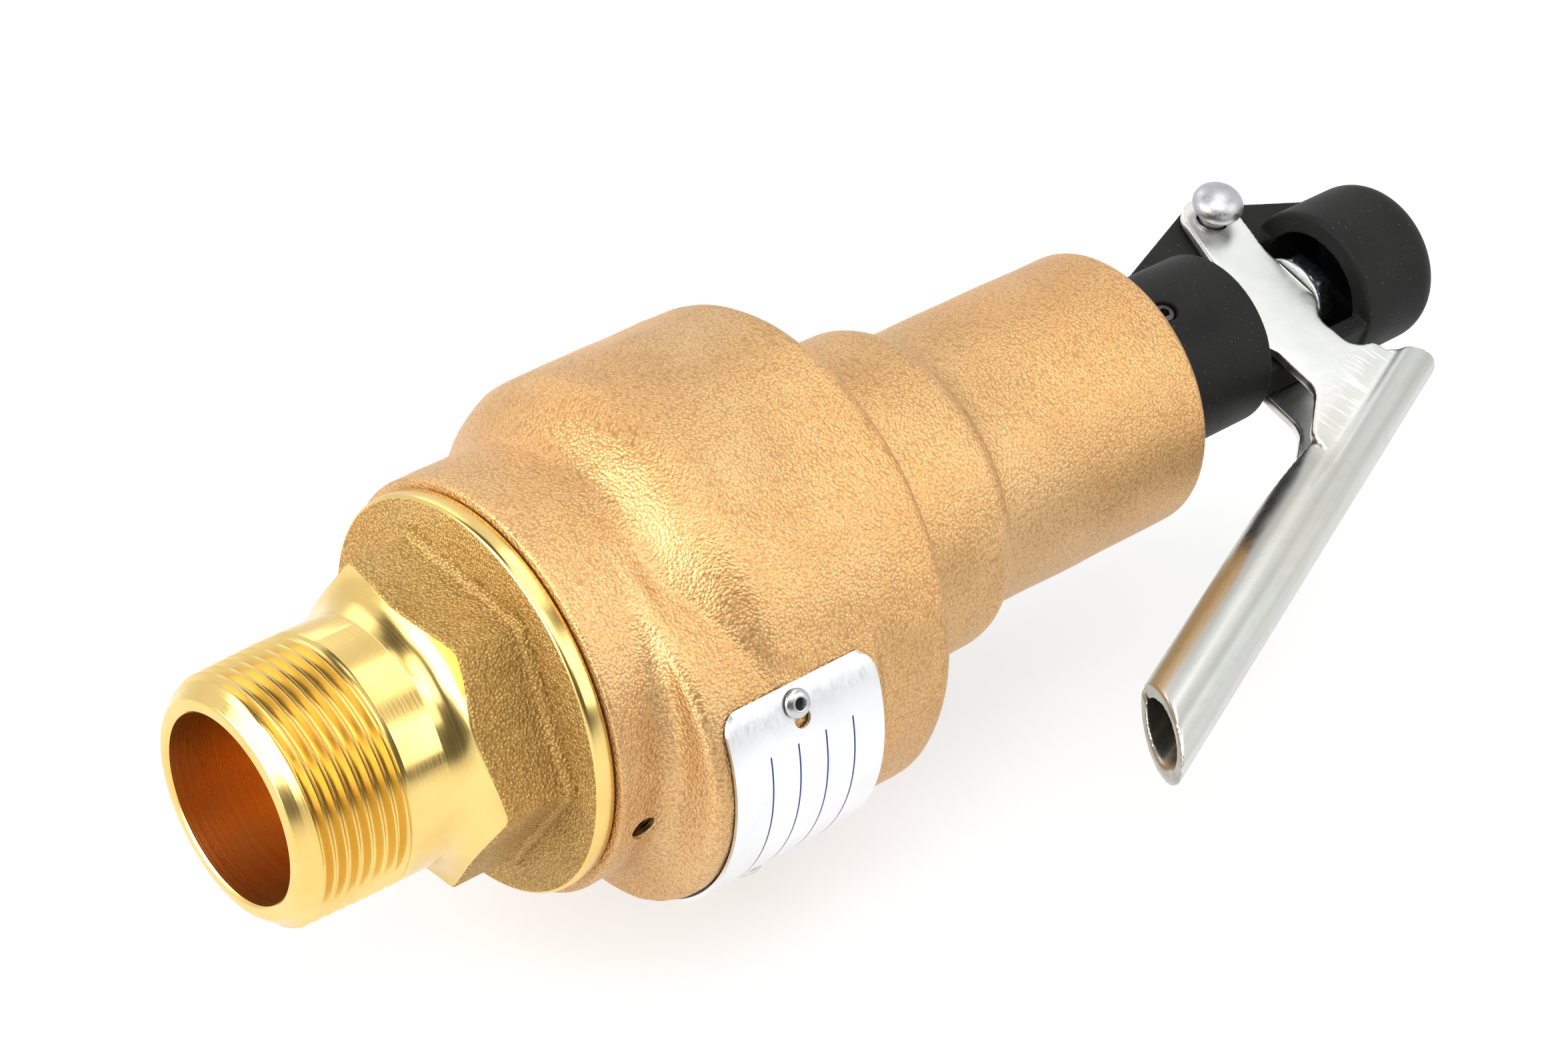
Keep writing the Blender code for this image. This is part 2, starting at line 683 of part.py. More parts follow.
def make_guide():
    outer = GUIDE_SEAT_R - FIT_GAP
    inner = DISC_STEM_R + RUN_GAP
    low = Z_CHAMBER_TOP + FIT_GAP
    high = Z_GUIDE_LEDGE - FIT_GAP
    outline = [(outer, high), (outer, low), (inner, low), (inner, high)]
    return turned("disc_guide", outline, BRASS, loop=True)


def make_spindle():
    """The rod from the disc's pocket to the lift nut, with a foot and a collar under the spring step."""
    foot = Z_POCKET + FIT_GAP
    tip = 0.8
    outline = [
        (0, Z_SPINDLE_TOP),
        (SPINDLE_R - tip, Z_SPINDLE_TOP),
        (SPINDLE_R, Z_SPINDLE_TOP - tip),
        (SPINDLE_R, Z_COLLAR + COLLAR_HEIGHT),
        (COLLAR_R, Z_COLLAR + COLLAR_HEIGHT),
        (COLLAR_R, Z_COLLAR),
        (SPINDLE_R, Z_COLLAR),
        (SPINDLE_R, foot + FOOT_HEIGHT),
        (FOOT_R, foot + FOOT_HEIGHT),
        (FOOT_R, foot + tip),
        (FOOT_R - tip, foot),
        (0, foot),
    ]
    return turned("spindle", outline, STEEL, segments=SMALL_SEGMENTS)


def make_spring_steps():
    """Flanged washers that centre the spring's two ends on the spindle."""
    bore = SPINDLE_HOLE_R
    top = Z_LOWER_STEP + STEP_FLANGE
    lower = [
        (STEP_HUB_R, top + STEP_HUB),
        (STEP_HUB_R, top),
        (STEP_R, top),
        (STEP_R, Z_LOWER_STEP),
        (bore, Z_LOWER_STEP),
        (bore, top + STEP_HUB),
    ]
    high = Z_UPPER_STEP + STEP_FLANGE
    upper = [
        (STEP_R, high),
        (STEP_R, Z_UPPER_STEP),
        (STEP_HUB_R, Z_UPPER_STEP),
        (STEP_HUB_R, Z_UPPER_STEP - STEP_HUB),
        (bore, Z_UPPER_STEP - STEP_HUB),
        (bore, high),
    ]
    return (
        turned("lower_spring_step", lower, STEEL, loop=True),
        turned("upper_spring_step", upper, STEEL, loop=True),
    )


def make_spring():
    """Round-wire compression spring, one unbroken helix between the two steps."""
    low = Z_SPRING + SPRING_WIRE_R
    rise = SPRING_LENGTH - 2 * SPRING_WIRE_R
    count = SPRING_CURLS * SPRING_POINTS_PER_CURL
    points = []
    for i in range(count + 1):
        turn = 2 * math.pi * i / SPRING_POINTS_PER_CURL
        x = SPRING_RADIUS * math.cos(turn)
        y = SPRING_RADIUS * math.sin(turn)
        points.append(Vector((x, y, low + rise * i / count)))
    apart = SPRING_POINTS_PER_CURL // 2
    nearest = min(
        (points[i] - points[j]).length for i in range(len(points)) for j in range(i + apart, len(points))
    )
    print("spring: least gap between curls", round(nearest - 2 * SPRING_WIRE_R, 3), "mm")
    curve = bpy.data.curves.new("spring", "CURVE")
    curve.dimensions = "3D"
    curve.bevel_depth = SPRING_WIRE_R * MM
    curve.bevel_resolution = 1
    curve.use_fill_caps = True
    spline = curve.splines.new("POLY")
    spline.points.add(count)
    for point, place in zip(spline.points, points):
        point.co = (*(place * MM), 1.0)
    return smooth(curve_to_mesh("spring", curve, SPRING_STEEL), 60)


def make_compression_screw():
    """Hollow adjusting screw that presses on the upper step, and the nut that locks it."""
    bore = SPINDLE_HOLE_R
    outline = [
        (SCREW_HEAD_R, Z_SCREW_TOP),
        (SCREW_HEAD_R, Z_LOCKNUT_TOP),
        (SCREW_R, Z_LOCKNUT_TOP),
        (SCREW_R, Z_SCREW + 1),
        (SCREW_R - 1, Z_SCREW),
        (bore, Z_SCREW),
        (bore, Z_SCREW_TOP),
    ]
    screw = turned("compression_screw", outline, STEEL, loop=True)
    nut = hex_nut("compression_screw_locknut", LOCKNUT_FLATS, SCREW_HOLE_R, Z_LOCKNUT, LOCKNUT_HEIGHT)
    return screw, nut


def hex_nut(name, flats, bore_r, low, height):
    """A hexagon nut with turned-off corners and a plain bore."""
    corner = flats / 2 / math.cos(math.pi / 6)
    nut = prism(name, corner, low, low + height, 6, STEEL)
    cone = corner - flats / 2
    dome = [
        (0, low + height),
        (flats / 2, low + height),
        (corner + cone, low + height - cone),
        (corner + cone, low + cone),
        (flats / 2, low),
        (0, low),
    ]
    combine(nut, turned(name + "_dome", dome), "INTERSECT")
    return combine(nut, prism(name + "_bore", bore_r, low - 1, low + height + 1, SMALL_SEGMENTS))


def ear_outline():
    """The ear that carries the pin: from the base, round the pin, up to the cup."""
    low = Z_CAP_BASE - CAP_BASE_HEIGHT + EAR_LOW
    top = Z_CUP + EAR_TOP
    inner = -WINDOW_HALF
    return [
        (inner, top),
        (-CUP_R + 0.6, top),
        *arc(PIN_X, Z_PIN, EAR_R, 155, 199, 5),
        (-CAP_R + 0.6, low),
        (inner, low),
    ]


def make_cap():
    """Black cap: hollow base, two webs that leave a window, ear for the pin and a domed cup."""
    base = [(0, Z_CAP_BASE), (CAP_R, Z_CAP_BASE), (CAP_R, Z_CAP), (0, Z_CAP)]
    cap = turned("lever_cap", base, BLACK)
    edge = arc(CUP_R - CUP_EDGE, Z_TOP - CUP_EDGE, CUP_EDGE, 90, 0, 7)
    cup = turned("cap_cup", [(0, Z_TOP), *edge, (CUP_R, Z_CUP), (0, Z_CUP)])
    ear = plate("cap_ear", [ear_outline()], WEB_HALF * 2)
    ear.matrix_world = stand_up()
    sunk = 0.8
    outer = WINDOW_HALF + FRONT_WEB_DEPTH
    low, high = Z_CAP_BASE - sunk, Z_CUP + sunk
    web = block("cap_front_web", (WINDOW_HALF, -WEB_HALF, low), (outer, WEB_HALF, high))
    for piece in (ear, web, cup):
        combine(cap, piece, "UNION")
    ceiling = Z_CAP_BASE - CAP_BASE_TOP
    combine(cap, prism("cap_bore", CAP_BORE_R, Z_CAP - 2, ceiling, SEGMENTS))
    combine(cap, prism("cap_spindle_hole", SPINDLE_R + LOOSE_GAP, ceiling - 2, Z_CAP_BASE + 2, SMALL_SEGMENTS))
    combine(cap, prism("cup_bore", CUP_R - CUP_WALL, Z_CUP - 2, Z_TOP - CUP_TOP, SEGMENTS))
    pin_hole = prism("ear_hole", PIN_R + FIT_GAP, -WEB_HALF * 2, WEB_HALF * 2, SMALL_SEGMENTS)
    bpy.context.view_layer.update()
    pin_hole.matrix_world = pin_place() @ pin_hole.matrix_world
    combine(cap, pin_hole)
    hole = radial_rod(
        "cap_screw_hole", CAP_SCREW_R + FIT_GAP, CAP_SCREW_TURN, CAP_BORE_R - 3, CAP_R + 3, Z_CAP_SCREW
    )
    combine(cap, hole)
    tip = STUB_GROOVE_R + FIT_GAP
    end = CAP_R - CAP_SCREW_SINK
    screw = radial_rod("cap_set_screw", CAP_SCREW_R, CAP_SCREW_TURN, tip, end, Z_CAP_SCREW, STEEL)
    return cap, smooth(screw)


def pin_place():
    """The pin's axis: a piece made about Z is laid along -Y, its top towards the near side."""
    return Matrix.Translation((PIN_X * MM, 0, Z_PIN * MM)) @ Matrix.Rotation(math.pi / 2, 4, "X")


def make_pin():
    """Domed pin through the arms and the ear, with a push-on clip on its far end."""
    under = ARM_OUTER + PIN_HEAD_STANDOFF
    clip = ARM_OUTER + RUN_GAP
    tail = clip + CLIP_THICKNESS + PIN_TAIL
    dome = arc(0, under + PIN_HEAD_RIM, PIN_HEAD_R, 90, 0, 7, PIN_HEAD_HEIGHT - PIN_HEAD_RIM)
    outline = [*dome, (PIN_HEAD_R, under), (PIN_R, under), (PIN_R, 1 - tail), (PIN_R - 1, -tail), (0, -tail)]
    pin = turned("lever_pin", outline, STEEL, segments=SMALL_SEGMENTS)
    hole = PIN_R + FIT_GAP
    ring = [(CLIP_R, -clip), (CLIP_R, -clip - CLIP_THICKNESS), (hole, -clip - CLIP_THICKNESS), (hole, -clip)]
    washer = turned("lever_pin_clip", ring, STEEL, loop=True, segments=SMALL_SEGMENTS)
    for made in (pin, washer):
        made.matrix_world = pin_place()
    return pin, washer


def handle_point(along, outward):
    """A point of the handle in (x, z) from the pin: along its axis from the pin's height, and outward."""
    x = HANDLE_REACH + along * math.sin(HANDLE_TILT) + outward * math.cos(HANDLE_TILT)
    z = -along * math.cos(HANDLE_TILT) + outward * math.sin(HANDLE_TILT)
    return x, z


def arm_outline():
    """One arm in (x, z) from the pin: round end, land for the washer, nub, handle side and heel."""
    step = ARM_LAND - ARM_STEP
    nub_x = HANDLE_REACH - ARM_NUB_SETBACK
    heel = Z_CAP_BASE + FIT_GAP - Z_PIN
    inner_edge = HANDLE_WALL / 2 - HANDLE_R
    return [
        *arc(0, 0, ARM_END_R, 75, 262, 10),
        (ARM_HEEL_BACK - PIN_X - 8, -ARM_END_R - 2),
        (ARM_HEEL_BACK - PIN_X, heel),
        (ARM_HEEL_FRONT - PIN_X, heel),
        (ARM_HEEL_FRONT - PIN_X + 2.4, -ARM_LOWER),
        *arc(nub_x + 0.8, -ARM_LOWER - 6, 6, 90, 50, 3),
        handle_point(HANDLE_OPEN_LENGTH - 2, inner_edge),
        handle_point(HANDLE_OPEN_LENGTH, HANDLE_WALL / 3),
        handle_point(-HANDLE_TOP_INNER - 2.5, HANDLE_WALL / 3),
        (nub_x + 1.6, ARM_NUB),
        (nub_x, ARM_NUB - 0.8),
        (nub_x - 0.6, ARM_NUB - 3.6),
        (nub_x - 2.4, step + 0.3),
        (ARM_LAND_FRONT + ARM_STEP_RUN - PIN_X, step),
        (ARM_LAND_FRONT - PIN_X, ARM_LAND),
        (ARM_LAND_BACK - PIN_X, ARM_LAND),
    ]


def handle_outline():
    """The handle's section: a rolled sheet, nearly closed, with a slit on the body side (-X)."""
    slit = math.degrees(HANDLE_SLIT)
    outer = arc(0, 0, HANDLE_R, 180 + slit, 540 - slit, 26)
    inner = arc(0, 0, HANDLE_R - HANDLE_WALL, 540 - slit, 180 + slit, 26)
    return outer + inner


def slanted_cutter(name, outer_along, inner_along, away):
    """A block with one face across the handle, slanted from its outer side to its inner side."""
    size = HANDLE_R * 8
    slope = math.atan2(outer_along - inner_along, 2 * HANDLE_R)
    middle = (outer_along + inner_along) / 2
    low, high = sorted((0.0, away * size * 2))
    cutter = block(name, (-size, -size, low), (size, size, high))
    bpy.context.view_layer.update()
    x, z = handle_point(middle, 0)
    place = Matrix.Translation((x * MM, 0, z * MM)) @ Matrix.Rotation(math.pi - HANDLE_TILT, 4, "Y")
    cutter.matrix_world = place @ Matrix.Rotation(slope, 4, "Y") @ cutter.matrix_world
    return cutter


def make_lever():
    """Two arms and a rolled handle from one sheet; the origin is on the pin's axis."""
    middle = (ARM_INNER + ARM_OUTER) / 2
    holes = [arm_outline(), circle(0, 0, PIN_R + RUN_GAP)]
    arms = []
    for name, side in (("lever", -1), ("lever_far_arm", 1)):
        arm = plate(name, holes, ARM_THICKNESS, ZINC if side < 0 else None)
        arm.data.transform(Matrix.Translation((0, side * middle * MM, 0)) @ stand_up())
        arms.append(arm)
    lever, far_arm = arms
    length = HANDLE_TIP_OUTER + HANDLE_TOP_OUTER + 10
    tube = plate("lever_handle", [handle_outline()], length)
    x, z = handle_point((HANDLE_TIP_OUTER - HANDLE_TOP_OUTER) / 2, 0)
    tube.matrix_world = Matrix.Translation((x * MM, 0, z * MM)) @ Matrix.Rotation(-HANDLE_TILT, 4, "Y")
    combine(tube, slanted_cutter("handle_tip_cut", HANDLE_TIP_OUTER, HANDLE_TIP_INNER, 1))
    combine(tube, slanted_cutter("handle_top_cut", -HANDLE_TOP_OUTER, -HANDLE_TOP_INNER, -1))
    half = ARM_INNER + ARM_THICKNESS / 6
    low = (-HANDLE_R * 2, -half, -HANDLE_OPEN_LENGTH)
    opening = block("handle_opening", low, (-HANDLE_WALL / 3, half, HANDLE_TOP_OUTER * 2))
    bpy.context.view_layer.update()
    x, z = handle_point(0, 0)
    place = Matrix.Translation((x * MM, 0, z * MM)) @ Matrix.Rotation(-HANDLE_TILT, 4, "Y")
    opening.matrix_world = place @ opening.matrix_world
    combine(tube, opening)
    combine(lever, tube, "UNION")
    combine(lever, far_arm, "UNION")
    pivot = Vector((PIN_X * MM, 0, Z_PIN * MM))
    for made in [lever, far_arm, tube] + [o for o in CUTTERS.objects if o.name.startswith("handle_")]:
        made.matrix_world = Matrix.Translation(pivot) @ made.matrix_world
    return smooth(lever)


def make_lift_nut():
    """Washer that the arms lift, and the nut on the spindle's end."""
    hole = SPINDLE_R + FIT_GAP
    high = Z_WASHER + WASHER_HEIGHT
    ring = [(WASHER_R, high), (WASHER_R, Z_WASHER), (hole, Z_WASHER), (hole, high)]
    washer = turned("lift_washer", ring, STEEL, loop=True, segments=SMALL_SEGMENTS)
    nut = hex_nut("lift_nut", NUT_FLATS, hole, Z_NUT, NUT_HEIGHT)
    return washer, nut


def group(name, place, members):
    """Hangs the pieces of one moving body on an empty that lies on its axis."""
    empty = bpy.data.objects.new(name, None)
    PARTS.objects.link(empty)
    empty.location = place
    bpy.context.view_layer.update()
    for member in members:
        world = member.matrix_world.copy()
        member.parent = empty
        member.matrix_world = world


make_nozzle()
make_body()
make_ring_parts()
make_nameplate()
make_guide()
make_compression_screw()
make_spring()
lower_step, upper_step = make_spring_steps()
make_cap()
make_pin()
make_lever()
group("spindle_axis", (0, 0, Z_SEAT * MM), [*make_disc(), make_spindle(), lower_step, *make_lift_nut()])
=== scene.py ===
"""Look of the pressure relief valve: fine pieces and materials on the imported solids, camera and studio."""

from math import acos, asin, ceil, copysign, cos, degrees, hypot, pi, radians, sin, sqrt, tan

import bmesh
import bpy
import numpy as np
from mathutils import Matrix, Vector, noise


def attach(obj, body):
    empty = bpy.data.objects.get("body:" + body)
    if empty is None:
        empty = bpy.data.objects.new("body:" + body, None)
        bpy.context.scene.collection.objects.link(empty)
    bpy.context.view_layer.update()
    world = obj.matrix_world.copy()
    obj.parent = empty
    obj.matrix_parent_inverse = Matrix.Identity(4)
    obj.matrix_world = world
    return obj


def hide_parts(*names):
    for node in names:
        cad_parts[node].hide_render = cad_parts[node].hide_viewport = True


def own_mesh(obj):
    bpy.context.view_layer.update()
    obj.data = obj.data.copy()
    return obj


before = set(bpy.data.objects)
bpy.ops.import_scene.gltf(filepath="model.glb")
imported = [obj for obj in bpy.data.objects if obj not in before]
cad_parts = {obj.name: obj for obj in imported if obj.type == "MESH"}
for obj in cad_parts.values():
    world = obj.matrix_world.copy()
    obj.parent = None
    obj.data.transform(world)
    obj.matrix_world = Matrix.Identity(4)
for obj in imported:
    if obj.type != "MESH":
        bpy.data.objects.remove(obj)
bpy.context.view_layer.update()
MM = 0.001

# Sizes shared with the solids, in millimetres
FIT = 0.3
BORE_R = 15.8
BORE_END = 34.0
CHAMFER_TOP = (19.28, 1.9)
THREAD_PITCH = 2.209
THREAD_END = 19.572
THREAD_CREST = 20.6
THREAD_TAPER = 1 / 32
THREAD_DEPTH = 1.45
NECK_R = 21.0
HEX_FRONT = 32.172
HEX_APOTHEM = 23.8
HEX_FLARE = 6.0
HEX_TURN = radians(-11.7)
FLANGE_FRONT = 44.172
FLANGE_TOP = 47.472
FLANGE_R = 33.6
GROOVE_LOW = 49.972
COLLAR_IN = 24.5
COLLAR_R = 29.0
COLLAR_TOP = 58.472
SEAT_BORE_R = 10.2
SEAT_R = 12.4
SEAT_NECK_R = 15.0
SEAT_TOP = 63.972
BODY_LOW = 47.772
BODY_NECK_R = 35.0
BULGE_R = 42.3
FLARE_LOW = 64.972
FLARE_TOP = 75.972
SHOULDER = 109.472
CREASE = 136.372
HUMP_R = 28.7
BONNET_R = 25.0
BONNET_TOP = 183.672
STUB_R = 13.2
STUB_TOP = 196.972
PAD_X = 14.289
PAD_R = 31.061
PAD_RIDGE = 60.2
PAD_TOP = 93.372
PLATE_LOW = 61.372
PLATE_SIZE = (44.4, 29.8)
PLATE_IN = 31.361
PLATE_OUT = 31.961
RIVET_TURN = asin((PLATE_SIZE[0] / 2 - 2.3) / PLATE_IN)
RIVET_Z = PLATE_LOW + 13.7
OUTLET_TURN = radians(120)
OUTLET_Z = 83.472
OUTLET_FACE = 56.0
OUTLET_BOSS_R = 28.5
OUTLET_BORE_R = 22.2
LOCK_Z = 52.772
CAP_LOW = 183.972
CAP_R = 15.75
CAP_BASE = 209.172
CUP_LOW = 234.572
CUP_R = 14.8
TOP = 254.772
WEB = 3.6
CAP_SCREW_TURN = radians(-87)
CAP_SCREW_Z = 191.972
PIN_X = -18.5
PIN_Z = 225.672
ARM_IN = 4.05
ARM_OUT = 6.05
HANDLE_TILT = radians(23)
HANDLE_REACH = 44.9
HANDLE_R = 6.25
HANDLE_WALL = 1.9
STEM_R = 3.1


def handle_point(along, outward):
    """A point in (x, z) along the handle's axis from the pin's height, and outward from the axis."""
    x = PIN_X + HANDLE_REACH + along * sin(HANDLE_TILT) + outward * cos(HANDLE_TILT)
    z = PIN_Z - along * cos(HANDLE_TILT) + outward * sin(HANDLE_TILT)
    return x, z


def clamp(value):
    return min(max(value, 0.0), 1.0)


def rgb(red, green, blue):
    return (red, green, blue, 1.0)


def scaled(colour, red, green, blue):
    return rgb(colour[0] * red, colour[1] * green, colour[2] * blue)


# Node helpers
class Nodes:
    """A node tree, with short ways to add to it; each gives the new node's outputs or one of them."""

    def __init__(self, tree):
        self.tree = tree

    def add(self, kind, inputs=None, **settings):
        made = self.tree.nodes.new("ShaderNode" + kind)
        for key, value in settings.items():
            setattr(made, key, value)
        for key, value in (inputs or {}).items():
            if isinstance(value, bpy.types.NodeSocket):
                self.tree.links.new(value, made.inputs[key])
            else:
                made.inputs[key].default_value = value
        return made.outputs

    def remap(self, value, low, high, to_low=0.0, to_high=1.0):
        return self.add("MapRange", {0: value, 1: low, 2: high, 3: to_low, 4: to_high})[0]

    def calc(self, operation, first, second=0.0):
        return self.add("Math", {0: first, 1: second}, operation=operation)[0]

    def plus(self, first, second):
        return self.calc("ADD", first, second)

    def times(self, first, second):
        return self.calc("MULTIPLY", first, second)

    def tint(self, share, first, second):
        """Mixes two colours."""
        return self.add("Mix", {0: share, 6: first, 7: second}, data_type="RGBA")[2]

    def mix(self, share, first, second):
        """Mixes two shaders."""
        return self.add("MixShader", {0: share, 1: first, 2: second})[0]

    def relief(self, height, distance):
        return self.add("Bump", {"Height": height, "Distance": distance, "Strength": 1.0})[0]

    def parts(self, coords):
        return self.add("SeparateXYZ", {0: coords})

    def stretch(self, coords, scale):
        return self.add("Mapping", {0: coords, 3: scale})[0]

    def band(self, value, low, high, soft):
        """1 between two limits, fading to 0 outside them."""
        rise = self.remap(value, low - soft, low)
        return self.times(rise, self.remap(value, high, high + soft, 1.0, 0.0))

    def seen_rays(self, path):
        """1 for the rays that show the background: those of the camera, of metal and of glass."""
        seen = self.calc("MAXIMUM", path["Is Camera Ray"], path["Is Glossy Ray"])
        return self.calc("MAXIMUM", seen, path["Is Transmission Ray"])


class Finish(Nodes):
    """A material in the making: its Principled shader with some plain values, and the piece's coordinates."""

    def __init__(self, name, **values):
        self.material = bpy.data.materials.new(name)
        self.material.use_nodes = True
        super().__init__(self.material.node_tree)
        self.shader = self.tree.nodes["Principled BSDF"]
        for key, value in values.items():
            self.shader.inputs[key.replace("_", " ")].default_value = value
        self.coords = self.add("TexCoord")["Object"]

    def grain(self, scale, detail=2.0, roughness=0.5, at=None):
        coords = self.coords if at is None else at
        values = {"Vector": coords, "Scale": scale, "Detail": detail, "Roughness": roughness}
        return self.add("TexNoise", values)[0]

    def done(self, colour, roughness, normal):
        for key, socket in (("Base Color", colour), ("Roughness", roughness), ("Normal", normal)):
            self.tree.links.new(socket, self.shader.inputs[key])
        return self.material


# Materials; the scales of their grain are per metre
def granules(mat, scale):
    """Close-set grains of sand casting: 1 on top of each, 0 in the seams between them."""
    away = mat.add("TexVoronoi", {"Vector": mat.coords, "Scale": scale})["Distance"]
    return mat.remap(away, 0.12, 0.85, 1.0, 0.0)


def cast_metal(name, light, dark, glint_colour, scale, depth, rough):
    """Sand-cast metal: close-set grains, lumps, patches of colour, painted shade in the seams between grains
    and painted glints on the grains' tops.
    """
    mat = Finish(name, Metallic=0.9)
    grains = granules(mat, scale)
    fine = mat.grain(scale * 1.9)
    lumps = mat.grain(scale / 5)
    patches = mat.grain(42.0, 3.0, 0.6)
    hue = mat.grain(30.0)
    colour = mat.tint(mat.remap(patches, 0.36, 0.66), dark, light)
    redder = scaled(light, 1.02, 0.90, 0.78)
    paler = scaled(light, 0.96, 1.05, 1.20)
    colour = mat.tint(mat.remap(hue, 0.50, 0.68, 0.0, 0.6), colour, redder)
    colour = mat.tint(mat.remap(hue, 0.46, 0.30, 0.0, 0.6), colour, paler)
    # Painted shade: the seams between the grains are darkened towards a deeper copy of the dark colour
    seams = mat.remap(grains, 0.12, 0.42, 0.42, 0.0)
    colour = mat.tint(seams, colour, scaled(dark, 0.55, 0.55, 0.55))
    # Painted glints: bright colour on the tops of the grains where the fine noise is high
    painted_glints = mat.times(mat.remap(grains, 0.50, 0.80), mat.remap(fine, 0.46, 0.66, 0.0, 0.7))
    colour = mat.tint(painted_glints, colour, glint_colour)
    roughness = mat.remap(fine, 0.3, 0.7, rough + 0.10, rough - 0.10)
    height = mat.plus(mat.plus(grains, mat.times(fine, 0.6)), mat.times(lumps, 1.6))
    return mat.done(colour, roughness, mat.relief(height, depth))


def turned_metal(name, light, dark, rough, depth):
    """Machined metal with the fine rings a lathe leaves about Z, and a faint tarnish."""
    mat = Finish(name, Metallic=1.0)
    x, y, z = mat.parts(mat.coords)
    across = mat.calc("SQRT", mat.plus(mat.times(x, x), mat.times(y, y)))
    ring_place = mat.add("CombineXYZ", {0: across, 1: z})[0]
    rings = mat.grain(2600.0, 4.0, 0.7, at=ring_place)
    broad = mat.grain(420.0, at=ring_place)
    tarnish = mat.grain(55.0, 4.0, 0.6)
    colour = mat.tint(mat.remap(tarnish, 0.38, 0.70), light, dark)
    roughness = mat.remap(mat.plus(rings, tarnish), 0.7, 1.3, rough * 0.7, rough * 1.5)
    height = mat.plus(rings, mat.times(broad, 1.5))
    return mat.done(colour, roughness, mat.relief(height, depth))


# Where the scrapes and streaks of the lever lie, in metres outward from the handle's axis and up along it
SCRAPES_OUT = (-0.0065, -0.0016)
SCRAPES_UP = (-0.018, 0.010)
STREAKS_OUT = (0.0, 0.0014)
STREAKS_UP = (-0.020, -0.027)


def fold_frame(mat):
    """Coordinates turned to the handle: outward from its axis, to the side, and upward along it."""
    x, z = handle_point(0, 0)
    start = (x * MM, 0.0, z * MM)
    from_start = mat.add("VectorMath", {0: mat.coords, 1: start}, operation="SUBTRACT")[0]
    return mat.add("VectorRotate", {0: from_start, 3: HANDLE_TILT}, rotation_type="Y_AXIS")[0]


def fold_strokes(mat, turned_back):
    """Share of the short scrapes that pressing leaves on the near arm, across its fold line."""
    outward, aside, above = mat.parts(turned_back)
    strokes = mat.grain(1.0, at=mat.stretch(turned_back, (150.0, 150.0, 1500.0)))
    near = mat.times(mat.band(outward, *SCRAPES_OUT, 0.001), mat.band(above, *SCRAPES_UP, 0.002))
    near = mat.times(near, mat.calc("LESS_THAN", aside, -ARM_IN * MM - 0.001))
    return mat.times(mat.remap(strokes, 0.55, 0.66), near)


def streaks_and_painted_bands(mat, turned_back):
    """Share of the dull streaks drawn along the rolled handle, partly painted shade in broad bands along it.
    """
    outward, _, above = mat.parts(turned_back)
    rolled = mat.calc("MAXIMUM", mat.remap(outward, *STREAKS_OUT), mat.remap(above, *STREAKS_UP))
    drawn = mat.grain(1.0, 3.0, at=mat.stretch(turned_back, (300.0, 300.0, 9.0)))
    return mat.times(rolled, mat.remap(drawn, 0.34, 0.66, 0.5, 1.0))


def plated_metal(name, light, dark, rough, folded=False):
    """Zinc-plated sheet: cloudy grey with a faint warm and blue cast, a frosted grain and small scuffs."""
    mat = Finish(name, Metallic=1.0)
    clouds = mat.grain(70.0, 4.0, 0.6)
    cast = mat.grain(28.0)
    frost = mat.grain(1500.0, 3.0, 0.6)
    scuffs = mat.grain(1.0, 3.0, at=mat.stretch(mat.coords, (900.0, 260.0, 260.0)))
    colour = mat.tint(mat.remap(clouds, 0.35, 0.7), light, dark)
    warm, blue = rgb(0.66, 0.60, 0.44), rgb(0.55, 0.63, 0.72)
    colour = mat.tint(mat.remap(cast, 0.5, 0.75, 0.0, 0.35), colour, warm)
    colour = mat.tint(mat.remap(cast, 0.42, 0.25, 0.0, 0.3), colour, blue)
    roughness = mat.remap(mat.plus(clouds, scuffs), 0.7, 1.3, rough * 0.85, rough * 1.25)
    height = mat.plus(mat.times(scuffs, 0.4), mat.times(frost, 0.7))
    if folded:
        turned_back = fold_frame(mat)
        strokes = fold_strokes(mat, turned_back)
        dull, scraped = rgb(0.45, 0.455, 0.42), rgb(0.93, 0.93, 0.90)
        # Partly painted shade: the dull streaks also stand in for the handle's round shading bands
        colour = mat.tint(streaks_and_painted_bands(mat, turned_back), colour, dull)
        colour = mat.tint(strokes, colour, scraped)
        roughness = mat.plus(roughness, mat.times(strokes, 0.2))
        height = mat.calc("SUBTRACT", height, mat.times(strokes, 3.0))
    return mat.done(colour, roughness, mat.relief(height, 0.000009))


def black_coat(name):
    """Matte black coating with an orange-peel grain and a fine pale dust."""
    mat = Finish(name, Metallic=0.0, Specular_IOR_Level=0.12)
    peel = mat.grain(1100.0)
    wide = mat.grain(90.0, 3.0)
    specks = mat.remap(mat.grain(2600.0, 0.0), 0.80, 0.86, 0.0, 0.5)
    colour = mat.tint(mat.remap(wide, 0.3, 0.7), rgb(0.008, 0.008, 0.008), rgb(0.014, 0.014, 0.0135))
    colour = mat.tint(specks, colour, rgb(0.16, 0.155, 0.145))
    return mat.done(colour, mat.remap(wide, 0.3, 0.7, 0.46, 0.60), mat.relief(peel, 0.00003))


def steel_metal(name, light, dark, rough):
    """Bare steel with smoky patches and a fine grain."""
    mat = Finish(name, Metallic=1.0)
    smoke = mat.grain(140.0, 4.0, 0.6)
    fine = mat.grain(1800.0)
    colour = mat.tint(mat.remap(smoke, 0.35, 0.68), light, dark)
    roughness = mat.remap(mat.plus(smoke, fine), 0.7, 1.3, rough * 0.7, rough * 1.5)
    return mat.done(colour, roughness, mat.relief(fine, 0.000008))


RULE_HEIGHTS = (68.5, 74.0, 79.5, 85.0)
RULE_HALF = 0.16
RULE_REACH = 15.0


